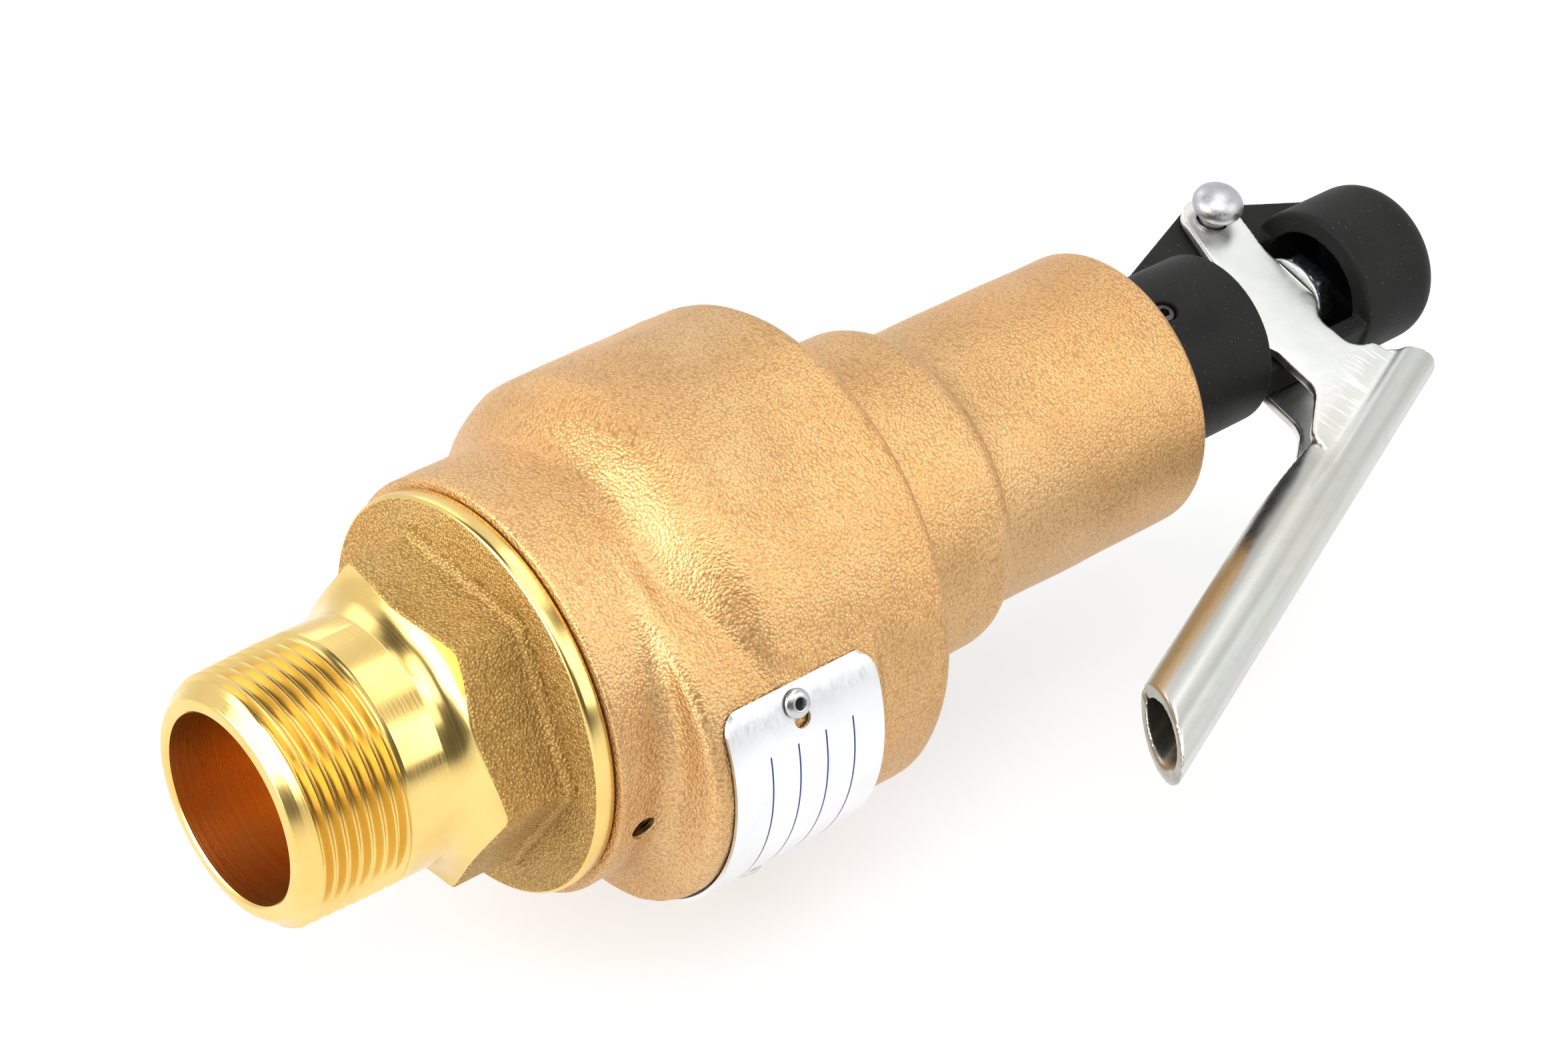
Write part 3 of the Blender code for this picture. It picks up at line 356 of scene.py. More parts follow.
def plate_metal(name):
    """Bright sheet, brushed along its width, with thin printed rules across it."""
    mat = Finish(name, Metallic=1.0)
    brush = mat.grain(1.0, 3.0, at=mat.stretch(mat.coords, (700.0, 700.0, 2600.0)))
    clouds = mat.grain(90.0, 3.0)
    colour = mat.tint(mat.remap(clouds, 0.3, 0.7), rgb(0.86, 0.87, 0.88), rgb(0.76, 0.77, 0.79))
    _, y, z = mat.parts(mat.coords)
    rules = 0.0
    for height in RULE_HEIGHTS:
        away = mat.calc("ABSOLUTE", mat.calc("SUBTRACT", z, height * MM))
        rules = mat.calc("MAXIMUM", rules, mat.calc("LESS_THAN", away, RULE_HALF * MM))
    inside = mat.calc("LESS_THAN", mat.calc("ABSOLUTE", y), RULE_REACH * MM)
    colour = mat.tint(mat.times(rules, inside), colour, rgb(0.03, 0.06, 0.25))
    return mat.done(colour, mat.remap(brush, 0.3, 0.7, 0.28, 0.38), mat.relief(brush, 0.000004))


# Each cast metal's glint colour is a painted glint on its grains
BRONZE = cast_metal(
    "cast_bronze", light=rgb(0.68, 0.412, 0.177), dark=rgb(0.56, 0.325, 0.131), glint_colour=rgb(0.88, 0.64, 0.35),
    scale=1950.0, depth=0.00009, rough=0.42,
)
DARK_CAST = cast_metal(
    "cast_brass", light=rgb(0.52, 0.32, 0.10), dark=rgb(0.38, 0.225, 0.06), glint_colour=rgb(0.96, 0.76, 0.38),
    scale=2100.0, depth=0.00019, rough=0.54,
)
POLISHED = turned_metal("polished_brass", rgb(0.83, 0.61, 0.22), rgb(0.74, 0.50, 0.15), 0.20, 0.000012)
# Bored brass: its own turned finish, with a redder, darker colour for inside the bore that is partly painted
# shade
BORE_BRASS_AND_SHADE = turned_metal("bored_brass_and_painted_shade", rgb(0.84, 0.50, 0.16), rgb(0.68, 0.36, 0.10), 0.26, 0.000030)
INNER_BRASS = turned_metal("inner_brass", rgb(0.80, 0.55, 0.20), rgb(0.66, 0.42, 0.13), 0.28, 0.000014)
ZINC = plated_metal("zinc_plate", rgb(0.80, 0.81, 0.78), rgb(0.66, 0.67, 0.65), 0.25)
LEVER_ZINC = plated_metal("lever_zinc", rgb(0.85, 0.86, 0.82), rgb(0.72, 0.73, 0.70), 0.29, folded=True)
BLACK = black_coat("black_coating")
STEEL = steel_metal("bare_steel", rgb(0.66, 0.66, 0.67), rgb(0.46, 0.46, 0.47), 0.24)
PIN_STEEL = steel_metal("pin_steel", rgb(0.56, 0.56, 0.57), rgb(0.40, 0.40, 0.41), 0.40)
BLUE_STEEL = steel_metal("blued_steel", rgb(0.66, 0.72, 0.82), rgb(0.44, 0.50, 0.60), 0.2)
# Painted shade: near-black steel for the screws sunk in holes, darkened as the holes' shade
PAINTED_SHADE_STEEL = steel_metal("painted_shade_steel", rgb(0.10, 0.10, 0.11), rgb(0.05, 0.05, 0.055), 0.34)
# Painted shade: near-black brown for the walls of the lock screw's tapped hole
HOLE_SHADE = steel_metal("hole_painted_shade", rgb(0.16, 0.09, 0.03), rgb(0.06, 0.035, 0.015), 0.34)
SPRING_STEEL = steel_metal("spring_steel", rgb(0.34, 0.34, 0.36), rgb(0.18, 0.18, 0.20), 0.34)
PLATE = plate_metal("nameplate_metal")

# Mesh helpers, in millimetres
TINY = 1e-6
TOUCHING = 1e-5


def link_mesh(name, bm, materials=(), scale=MM):
    """Makes an object of points in millimetres, or in the unit that the scale gives."""
    bmesh.ops.scale(bm, vec=(scale, scale, scale), verts=bm.verts)
    mesh = bpy.data.meshes.new(name)
    bm.to_mesh(mesh)
    bm.free()
    made = bpy.data.objects.new(name, mesh)
    bpy.context.scene.collection.objects.link(made)
    for material in materials:
        mesh.materials.append(material)
    return made


def clean(bm):
    bmesh.ops.remove_doubles(bm, verts=bm.verts, dist=TOUCHING)
    bmesh.ops.dissolve_degenerate(bm, edges=bm.edges, dist=TOUCHING / 10)
    bmesh.ops.recalc_face_normals(bm, faces=bm.faces)
    return bm


def bow(centre_r, centre_z, radius, start, end, count, radius_z=None):
    """Points along an arc or quarter ellipse, angles in degrees."""
    tall = radius if radius_z is None else radius_z
    points = []
    for i in range(count + 1):
        a = radians(start + (end - start) * i / count)
        points.append((centre_r + radius * cos(a), centre_z + tall * sin(a)))
    return points


def round_off(points, radius, loop=True, steps=3, least=25):
    """Rounds the corners of an outline that turn by more than the least angle."""
    result = []
    count = len(points)
    for i, point in enumerate(points):
        here = Vector(point)
        if not loop and i in (0, count - 1):
            result.append(tuple(here))
            continue
        back = Vector(points[i - 1]) - here
        ahead = Vector(points[(i + 1) % count]) - here
        if min(back.length, ahead.length) < TINY or degrees(pi - back.angle(ahead)) < least:
            result.append(tuple(here))
            continue
        cut = min(radius, 0.45 * back.length, 0.45 * ahead.length)
        first = here + back.normalized() * cut
        last = here + ahead.normalized() * cut
        for k in range(steps + 1):
            t = k / steps
            result.append(tuple(first * (1 - t) ** 2 + here * 2 * t * (1 - t) + last * t**2))
    return result


def even_turns(count):
    return [2 * pi * i / count for i in range(count)]


def add_ring(bm, places, turns):
    """Adds a point for each (radius, height) at its own angle about Z."""
    return [bm.verts.new((r * cos(t), r * sin(t), z)) for (r, z), t in zip(places, turns)]


def add_rings(bm, outline, segments, loop=False):
    """Turns an outline of (radius, height) about Z."""
    rings = []
    for r, z in outline:
        if r < TINY:
            rings.append([bm.verts.new((0, 0, z))] * segments)
        else:
            rings.append(add_ring(bm, [(r, z)] * segments, even_turns(segments)))
    join_rings(bm, rings, loop)


def join_rings(bm, rings, loop=False):
    pairs = list(zip(rings, rings[1:]))
    if loop:
        pairs.append((rings[-1], rings[0]))
    for upper, lower in pairs:
        for i in range(len(upper)):
            k = (i + 1) % len(upper)
            corners = list(dict.fromkeys((upper[i], lower[i], lower[k], upper[k])))
            if len(corners) > 2:
                bm.faces.new(corners)


def turned(name, outline, materials=(), loop=False, segments=96, edge=0.0):
    if edge:
        outline = round_off(outline, edge, loop)
    bm = bmesh.new()
    add_rings(bm, outline, segments, loop)
    return link_mesh(name, clean(bm), materials)


# One pitch of a thread: places along it, and the share of the tooth's depth cut away there
THREAD_SHARES = (0.0, 0.09, 0.18, 0.32, 0.41, 0.50, 0.59, 0.68, 0.82, 0.91)
THREAD_CUT = (1.0, 0.95, 0.80, 0.35, 0.08, 0.0, 0.08, 0.35, 0.80, 0.95)


def add_thread(bm, low, high, pitch, segments, radius):
    """A helical thread between two plain rings; radius(z, cut) is its surface at a share of the depth."""
    turns = ceil((high - low) / pitch) + 2
    per_turn = len(THREAD_SHARES)
    rows = []
    for j in range(turns * per_turn + 1):
        rise = j // per_turn + THREAD_SHARES[j % per_turn] - 1
        heights = [min(max(low + (rise + i / segments) * pitch, low), high) for i in range(segments)]
        places = [(radius(z, THREAD_CUT[j % per_turn]), z) for z in heights]
        rows.append(add_ring(bm, places, even_turns(segments)))
    for j in range(len(rows) - 1):
        for i in range(segments):
            if i < segments - 1:
                right, step = i + 1, 0
            else:
                right, step = 0, per_turn
            if j + 1 + step < len(rows):
                corners = (rows[j][i], rows[j + step][right], rows[j + 1 + step][right], rows[j + 1][i])
                bm.faces.new(corners)


def bake(piece):
    """Replaces a piece's mesh by what its modifiers make of it."""
    bpy.context.view_layer.update()
    shown = piece.evaluated_get(bpy.context.evaluated_depsgraph_get())
    mesh = bpy.data.meshes.new_from_object(shown)
    old = piece.data
    piece.modifiers.clear()
    piece.data = mesh
    bpy.data.meshes.remove(old)
    mesh.name = piece.name


def carve(piece, tool, operation="DIFFERENCE"):
    made = piece.modifiers.new("carve", "BOOLEAN")
    made.operation = operation
    made.solver = "EXACT"
    made.object = tool
    bake(piece)
    bpy.data.objects.remove(tool)


def soften(piece, voxel, rounds):
    """Melts a piece's pieces together and rounds its edges as pressing, casting or coating does."""
    mesher = piece.modifiers.new("mesh", "REMESH")
    mesher.mode = "VOXEL"
    mesher.voxel_size = voxel * MM
    mesher.adaptivity = 0.0
    smoother = piece.modifiers.new("smooth", "SMOOTH")
    smoother.factor = 0.5
    smoother.iterations = rounds
    bake(piece)


def thin(piece, keep):
    """Leaves out the points that a surface can do without."""
    thinner = piece.modifiers.new("thin", "DECIMATE")
    thinner.ratio = keep
    bake(piece)


def smooth_points(piece, chosen, rounds):
    """Evens out the points that a test in millimetres picks."""
    bm = bmesh.new()
    bm.from_mesh(piece.data)
    points = [v for v in bm.verts if chosen(v.co / MM)]
    for _ in range(rounds):
        bmesh.ops.smooth_vert(bm, verts=points, factor=0.5, use_axis_x=True, use_axis_y=True, use_axis_z=True)
    bm.to_mesh(piece.data)
    bm.free()


def place(piece, matrix):
    """Moves a piece by changing its mesh, so its own coordinates stay those of the valve."""
    piece.data.transform(matrix)
    return piece


def dress(piece, angle, body, slot, *nodes):
    """Shades a piece smooth up to an angle, and names its body and the node it replaces; the slot is not
    used.
    """
    piece.data.shade_smooth()
    piece.data.set_sharp_from_angle(angle=radians(angle))
    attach(piece, body)
    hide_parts(*nodes)


def quarter_turn(axis):
    return Matrix.Rotation(pi / 2, 4, axis)


def radial_matrix(turn, height, centre_x=0.0, start=0.0):
    """Lays a piece made about Z along a radius."""
    outward = Vector((cos(turn), sin(turn), 0.0))
    return (
        Matrix.Translation((outward * start + Vector((centre_x, 0, height))) * MM)
        @ Matrix.Rotation(turn, 4, "Z")
        @ quarter_turn("Y")
    )


def rod(radius, low, high, segments=48):
    return turned("rod", [(0, high), (radius, high), (radius, low), (0, low)], segments=segments)


def slab(name, outline, low, high):
    """A flat plate: an outline in (x, z), thick along Y from low to high."""
    bm = bmesh.new()
    near = [bm.verts.new((x, low, z)) for x, z in outline]
    far = [bm.verts.new((x, high, z)) for x, z in outline]
    bm.faces.new(near)
    bm.faces.new(far)
    for i in range(len(outline)):
        k = (i + 1) % len(outline)
        bm.faces.new((near[i], near[k], far[k], far[i]))
    return link_mesh(name, clean(bm))


# Inlet nozzle; the hexagon's foot is given by its scale and height
NOZZLE_SIDES = 144
FLARE_STEPS = 12
FLARE_NORMAL = -0.65
HEX_FOOT_START = 40.0
HEX_FOOT = (
    (1.0, 41.7), (1.012, 42.5), (1.032, 42.9), (1.047, 43.4), (1.052, FLANGE_FRONT),
    (1.052, FLANGE_FRONT + 0.3),
)


def nozzle_thread_radius(z, cut):
    start_r, start_z = CHAMFER_TOP
    crest = min(THREAD_CREST + (z - start_z) * THREAD_TAPER, NECK_R)
    ease = clamp((z - start_z) / (0.5 * THREAD_PITCH)) * clamp((THREAD_END - z) / (0.9 * THREAD_PITCH))
    return min(crest - THREAD_DEPTH * cut * ease, start_r + (z - start_z) * 1.1)


def hex_radius(angle, scale):
    """Radius of the wrench hexagon, its corners slightly rounded."""
    folded = (angle - HEX_TURN) % (pi / 3) - pi / 6
    corner = HEX_APOTHEM / cos(pi / 6)
    return scale * min(HEX_APOTHEM / cos(folded), corner - 0.28)


def flare_point(end_r, share):
    """A point of the turned flare between the neck and the hexagon, at a share of its arc out to a radius."""
    turn = acos(max(NECK_R + HEX_FLARE - end_r, 0.0) / HEX_FLARE) * share
    return NECK_R + HEX_FLARE * (1 - cos(turn)), HEX_FRONT - HEX_FLARE * (1 - sin(turn))


def make_hexagon():
    flare_low = HEX_FRONT - HEX_FLARE
    angles = [a + HEX_TURN for a in even_turns(NOZZLE_SIDES)]
    edge = [hex_radius(a, 0.99) for a in angles]
    outlines = [[(NECK_R - 0.6, flare_low)] * NOZZLE_SIDES]
    outlines += [[flare_point(r, k / FLARE_STEPS) for r in edge] for k in range(1, FLARE_STEPS + 1)]
    outlines.append([(hex_radius(a, 1.0), flare_point(r, 1.0)[1] + 0.4) for a, r in zip(angles, edge)])
    outlines += [[(hex_radius(a, scale), z) for a in angles] for scale, z in HEX_FOOT]
    outlines += [[(18.6, z)] * NOZZLE_SIDES for z in (FLANGE_FRONT + 0.3, flare_low)]
    bm = bmesh.new()
    join_rings(bm, [add_ring(bm, outline, angles) for outline in outlines], loop=True)
    return link_mesh("nozzle_hexagon", clean(bm))


def make_nozzle():
    bm = bmesh.new()
    upper = [
        (SEAT_BORE_R, SEAT_TOP), (SEAT_R, SEAT_TOP), (SEAT_NECK_R, SEAT_TOP - 2.0),
        (SEAT_NECK_R, GROOVE_LOW), (COLLAR_IN, GROOVE_LOW), (COLLAR_IN, COLLAR_TOP), (COLLAR_R, COLLAR_TOP),
        (COLLAR_R, FLANGE_TOP), *bow(FLANGE_R - 0.4, FLANGE_TOP - 0.4, 0.4, 90, 0, 3),
        *bow(FLANGE_R - 0.8, FLANGE_FRONT + 0.8, 0.8, 0, -90, 5), (22.0, FLANGE_FRONT),
        (22.0, HEX_FRONT + 0.6), (NECK_R, HEX_FRONT + 0.6), (NECK_R, THREAD_END),
    ]
    lower = [
        CHAMFER_TOP,
        *round_off([CHAMFER_TOP, (18.0, 0.25), (16.3, 0.0), (BORE_R, 0.45)], 0.3, False)[1:],
        (BORE_R, BORE_END),
        (SEAT_BORE_R, BORE_END + 10.0),
        (SEAT_BORE_R, SEAT_TOP),
    ]
    add_rings(bm, upper, NOZZLE_SIDES)
    add_thread(bm, CHAMFER_TOP[1], THREAD_END, THREAD_PITCH, NOZZLE_SIDES, nozzle_thread_radius)
    add_rings(bm, lower, NOZZLE_SIDES)
    nozzle = link_mesh("nozzle_metal", clean(bm), (POLISHED, DARK_CAST, BORE_BRASS_AND_SHADE))
    carve(nozzle, make_hexagon(), "UNION")
    for face in nozzle.data.polygons:
        x, y, z = face.center / MM
        r = hypot(x, y)
        on_hexagon = HEX_FRONT - 1.5 < z < FLANGE_FRONT + 0.05 and r > NECK_R + 1
        on_hexagon = on_hexagon and (z > HEX_FOOT_START or face.normal.z > FLARE_NORMAL)
        in_bore = r < BORE_R + 0.05 and z > 0.6
        # Faces inside the bore take the bored brass, whose darker colour is partly painted shade
        face.material_index = 1 if on_hexagon else 2 if in_bore else 0
    dress(nozzle, 30, "body", "brass", "nozzle")


# Body and bonnet casting
COVE = 3.8
RIDGE = 1.9
FACE_SLOPE = radians(84)
NOSE_TOP = 66.0
NOSE_LOW = 50.2
NOSE_ROUND = 0.6
NOSE_ROWS = 56
LOBE_BLEND = (3.4, 0.8)
OUTLET_FILLET = 5.0
BONNET_EDGE = 1.6
HUMP_ROUND = 4.6
SHOULDER_ROUND = 3.0
BULGE_STEP = 0.8
NECK_STEP = 0.7
STEM_HOLE_R = 8.2
SPRING_ROOM_R = 20.6
GUIDE_SEAT_R = 22.6
CHAMBER_R = 35.5
NOZZLE_HOLE_R = 29.3
RIVET_HOLE_R = 1.4
LOCK_HOLE_R = 2.1


def smooth_max(first, second, width):
    overlap = max(width - abs(first - second), 0.0) / width
    return max(first, second) + overlap * overlap * width / 4


def body_side(z):
    """Outer radius of the plain casting from its lower rim to the bulge."""
    left = (FLARE_TOP - z) / (FLARE_TOP - FLARE_LOW)
    if left <= 0:
        return BULGE_R
    flare = BULGE_R - (BULGE_R - BODY_NECK_R) * left**2
    return smooth_max(flare, BODY_NECK_R, 2.6)


def nose_drop(below, height):
    """How far the lobe falls back below its ridge: a round ridge, a sloping face, a cove at its foot."""
    slope = min(FACE_SLOPE, acos(max(1 - height / (RIDGE + COVE), -1.0)))
    straight = max(height - (RIDGE + COVE) * (1 - cos(slope)), 0.0)
    first = RIDGE * sin(slope)
    second = first + straight / tan(slope)
    last = second + COVE * sin(slope)
    if below < first:
        return RIDGE - sqrt(RIDGE**2 - below**2)
    if below < second:
        return RIDGE * (1 - cos(slope)) + (below - first) * tan(slope)
    if below < last:
        return height - COVE + sqrt(COVE**2 - (last - below) ** 2)
    return height


def lobed_side(z, turn):
    """Outer radius of the plain casting with the nameplate's lobe melted into it."""
    side = body_side(z)
    across = PAD_X * sin(turn)
    reach = PAD_X * cos(turn)
    if reach <= 0 or z > PAD_TOP + 1:
        return side
    past = max(z - PAD_TOP + 1.5, 0.0) / 2.5
    lobe = reach + sqrt((PAD_R - 3.4 * past**2) ** 2 - across**2)
    low_blend, high_blend = LOBE_BLEND
    width = low_blend - (low_blend - high_blend) * clamp((z - 60.0) / 4)
    full = smooth_max(side, lobe, width)
    if z >= PAD_RIDGE or full - side < 0.01:
        return full
    return full - nose_drop(PAD_RIDGE - z, full - side)


def nose_profile(turn):
    """Points (radius, height) down the lobe's nose in one upright plane, its corners rounded as cast."""
    step, reach = 0.1, 20
    z = np.linspace(NOSE_TOP, NOSE_LOW, 360)
    r = np.array([lobed_side(h, turn) for h in z])
    run = np.concatenate(([0.0], np.cumsum(np.hypot(np.diff(r), np.diff(z)))))
    even = np.arange(0.0, run[-1], step)
    weights = np.exp(-0.5 * (np.arange(-reach, reach + 1) * step / NOSE_ROUND) ** 2)
    rows = np.linspace(0.0, even[-1], NOSE_ROWS)
    columns = []
    for values in (r, z):
        values = np.interp(even, run, values)
        before = 2 * values[0] - values[reach:0:-1]
        after = 2 * values[-1] - values[-2 : -reach - 2 : -1]
        rounded = np.convolve(np.concatenate((before, values, after)), weights / weights.sum(), "valid")
        columns.append(np.interp(rows, even, rounded))
    return list(zip(*columns))


def lump(radius, turn, z, scale):
    return noise.noise(Vector((radius * cos(turn), radius * sin(turn), z)) * scale)


def cast_radius(side, z, turn):
    """A smooth radius with the casting's lumps, the plate's bed and the outlet's fillet."""
    lumps = lump(side, turn, z, 0.085) * 0.22
    lumps += lump(side, turn, z + 300, 0.3) * 0.13
    side += lumps * clamp((z - BODY_LOW - 0.5) / 3)
    x, y = side * cos(turn) - PAD_X, side * sin(turn)
    half_width, half_height = PLATE_SIZE[0] / 2, PLATE_SIZE[1] / 2
    on_bed = abs(y) < half_width + 0.6 and abs(z - PLATE_LOW - half_height) < half_height + 0.6
    limit = PLATE_IN - 0.12
    if x > 0 and on_bed and hypot(x, y) > limit:
        side = PAD_X * cos(turn) + sqrt(limit**2 - (PAD_X * sin(turn)) ** 2)
    return side + outlet_fillet(side, z, turn)


def outlet_fillet(side, z, turn):
    away = turn - OUTLET_TURN
    if cos(away) <= 0:
        return 0.0
    distance = hypot(side * sin(away), z - OUTLET_Z) - OUTLET_BOSS_R
    if distance >= OUTLET_FILLET:
        return 0.0
    if distance <= 0:
        return OUTLET_FILLET
    return OUTLET_FILLET - sqrt(OUTLET_FILLET**2 - (OUTLET_FILLET - distance) ** 2)


def at_outlet_joint(point):
    """Whether a point lies by the corner between the casting and its outlet boss."""
    outward = Vector((cos(OUTLET_TURN), sin(OUTLET_TURN), 0.0))
    along = point.dot(outward)
    off_axis = (point - outward * along - Vector((0, 0, OUTLET_Z))).length
    return 24 < along < 47 and abs(off_axis - OUTLET_BOSS_R) < 4.5


def body_turns():
    """Column angles: close together round the nameplate and the outlet."""
    turns = []
    angle = -180.0
    while angle < 179.9:
        turns.append(radians(angle))
        near_pad = -64 < angle < 64
        near_outlet = 72 < angle < 168
        angle += 0.8 if near_pad else 1.2 if near_outlet else 2.4
    return turns


def cast_rows(turns):
    """The casting's outside from top to rim: rows of (radius, height), with one point for each angle."""
    edge, bend = BONNET_EDGE, SHOULDER_ROUND
    upper = [(STUB_R, STUB_TOP), (STUB_R, BONNET_TOP), (BONNET_R - edge - 0.2, BONNET_TOP)]
    upper += bow(BONNET_R - edge, BONNET_TOP - edge, edge, 75, 0, 5)
    side = [(BONNET_R, CREASE + 44.0 - 4.0 * i) for i in range(11)]
    side += [(BONNET_R + 0.25, CREASE + 1.2), (BONNET_R + 0.7, CREASE - 0.1)]
    side += bow(BONNET_R, CREASE - HUMP_ROUND, HUMP_R - BONNET_R, 62, 0, 7, HUMP_ROUND)
    side += [(HUMP_R, CREASE - HUMP_ROUND - 3.6 * i) for i in range(1, 6)]
    side += bow(HUMP_R + bend, SHOULDER + bend, bend, 180, 270, 6)
    side += [(HUMP_R + 2 * bend, SHOULDER)]
    side += bow(BULGE_R - bend, SHOULDER - bend, bend, 90, 8, 7)
    rows = [[point] * len(turns) for point in upper]
    rows += [[(r + lump(r, t, z, 0.085) * 0.2, z) for t in turns] for r, z in side]
    bulge = np.arange(SHOULDER - 3.4, NOSE_TOP + 0.3, -BULGE_STEP)
    neck = np.arange(NOSE_LOW - NECK_STEP, BODY_LOW + 0.75, -NECK_STEP)
    rows += [[(cast_radius(lobed_side(z, t), z, t), z) for t in turns] for z in bulge]
    for row in zip(*(nose_profile(t) for t in turns)):
        rows.append([(cast_radius(r, z, t), z) for (r, z), t in zip(row, turns)])
    rows += [[(cast_radius(lobed_side(z, t), z, t), z) for t in turns] for z in neck]
    rows += [[point] * len(turns) for point in bow(BODY_NECK_R - 0.6, BODY_LOW + 0.6, 0.6, 0, -90, 4)]
    return rows


def make_body():
    turns = body_turns()
    bm = bmesh.new()
    rings = [add_ring(bm, row, turns) for row in cast_rows(turns)]
    join_rings(bm, rings)
    bm.faces.new(rings[0])
    bm.faces.new(rings[-1])
    body = link_mesh("body_casting", clean(bm), (BRONZE, HOLE_SHADE))
    boss = [
        (0, OUTLET_FACE),
        *bow(OUTLET_BOSS_R - 1.2, OUTLET_FACE - 1.2, 1.2, 90, 0, 4),
        *((OUTLET_BOSS_R, 53.2 - 1.6 * i) for i in range(20)),
        (0, 22.8),
    ]
    outlet = radial_matrix(OUTLET_TURN, OUTLET_Z)
    carve(body, place(turned("outlet_boss", boss, segments=128), outlet), "UNION")
    smooth_points(body, at_outlet_joint, 10)
    cavity = [
        (0, STUB_TOP + 2), (STEM_HOLE_R, STUB_TOP + 2), (STEM_HOLE_R, 174.972), (SPRING_ROOM_R, 171.972),
        (SPRING_ROOM_R, 113.972), (GUIDE_SEAT_R, 113.972), (GUIDE_SEAT_R, 103.972), (CHAMBER_R, 100.972),
        (CHAMBER_R, FLARE_LOW + 8), (NOZZLE_HOLE_R, FLARE_LOW), (NOZZLE_HOLE_R, BODY_LOW - 2),
        (0, BODY_LOW - 2),
    ]
    carve(body, turned("body_hollow", cavity, edge=0.8))
    carve(body, place(make_outlet_thread(), outlet))
    carve(body, place(make_lock_hole(), radial_matrix(0.0, LOCK_Z)))
    for side in (-1, 1):
        hole = rod(RIVET_HOLE_R, PAD_R - 4.9, PAD_R + 3, 24)
        carve(body, place(hole, radial_matrix(side * RIVET_TURN, RIVET_Z, PAD_X)))
    # Painted shade: the lock hole's walls take the near-black hole colour
    for face in body.data.polygons:
        x, y, z = face.center / MM
        if 25 < x < BODY_NECK_R - 0.6 and hypot(y, z - LOCK_Z) < LOCK_HOLE_R + 0.6:
            face.material_index = 1
    dress(body, 38, "body", "bronze", "valve_body")


def make_lock_hole():
    """The small tapped hole in the neck, as the solid it leaves out."""
    start, mouth, pitch, depth = 28.5, BODY_NECK_R + 1.0, 0.75, 0.35

    def radius(z, cut):
        return LOCK_HOLE_R + depth * (1 - cut) * clamp((z - start) / pitch)

    bm = bmesh.new()
    add_rings(bm, [(LOCK_HOLE_R, start), (LOCK_HOLE_R, start - 1.5), (0, start - 1.5)], 36)
    add_thread(bm, start, mouth, pitch, 36, radius)
    add_rings(bm, [(0, mouth + 4.0), (LOCK_HOLE_R, mouth + 4.0), (LOCK_HOLE_R, mouth)], 36)
    return link_mesh("lock_hole", clean(bm))


def socket_head(name, outline, edge, segments, socket):
    """A small headless screw with a hexagon socket in its top."""
    # Painted shade: the screw is near-black, as the shade in its hole
    screw = turned(name, outline, (PAINTED_SHADE_STEEL,), segments=segments, edge=edge)
    carve(screw, turned(f"{name}_socket", socket, segments=6))
    return screw


def make_lock_screw():
    low, high, radius, socket = 22.7, BODY_NECK_R - 3.4, 1.7, 1.15
    outline = [(0, high), (radius, high), (radius, low + 0.8), (0.9, low), (0, low)]
    hollow = [(0, high + 1), (socket, high + 1), (socket, high - 2.4), (0, high - 2.6)]
    screw = socket_head("lock_screw", outline, 0.2, 36, hollow)
    place(screw, radial_matrix(0.0, LOCK_Z))
    dress(screw, 35, "body", "steel", "ring_lock_screw")


def make_outlet_thread():
    """The female pipe thread of the outlet, as the solid it leaves out."""
    start, mouth, depth, segments = 36.0, OUTLET_FACE - 1.0, 1.5, 112

    def radius(z, cut):
        ease = clamp((z - start) / THREAD_PITCH) * clamp((mouth - z) / 0.6)
        return OUTLET_BORE_R + depth * (1 - cut) * ease

    bm = bmesh.new()
    add_rings(bm, [(OUTLET_BORE_R, start), (OUTLET_BORE_R, 21.5), (0, 21.5)], segments)
    add_thread(bm, start, mouth, THREAD_PITCH, segments, radius)
    flared = [(0, OUTLET_FACE + 3), (OUTLET_BORE_R + 3.4, OUTLET_FACE + 3), (OUTLET_BORE_R, mouth)]
    add_rings(bm, flared, segments)
    return link_mesh("outlet_thread", clean(bm))


# Nameplate and rivets
PLATE_CORNER = 3.0
SPARE_HOLE_R = 1.6
SPARE_TURN = 0.085
RIVET_HEAD = (
    (0, 0.1), (0.85, 0.15), (1.05, 0.80), *bow(0, 0.0, 2.4, 60, 6, 8, 1.0), (2.4, 0.0), (1.1, 0.0),
    (1.1, -4.6), (0, -4.6),
)


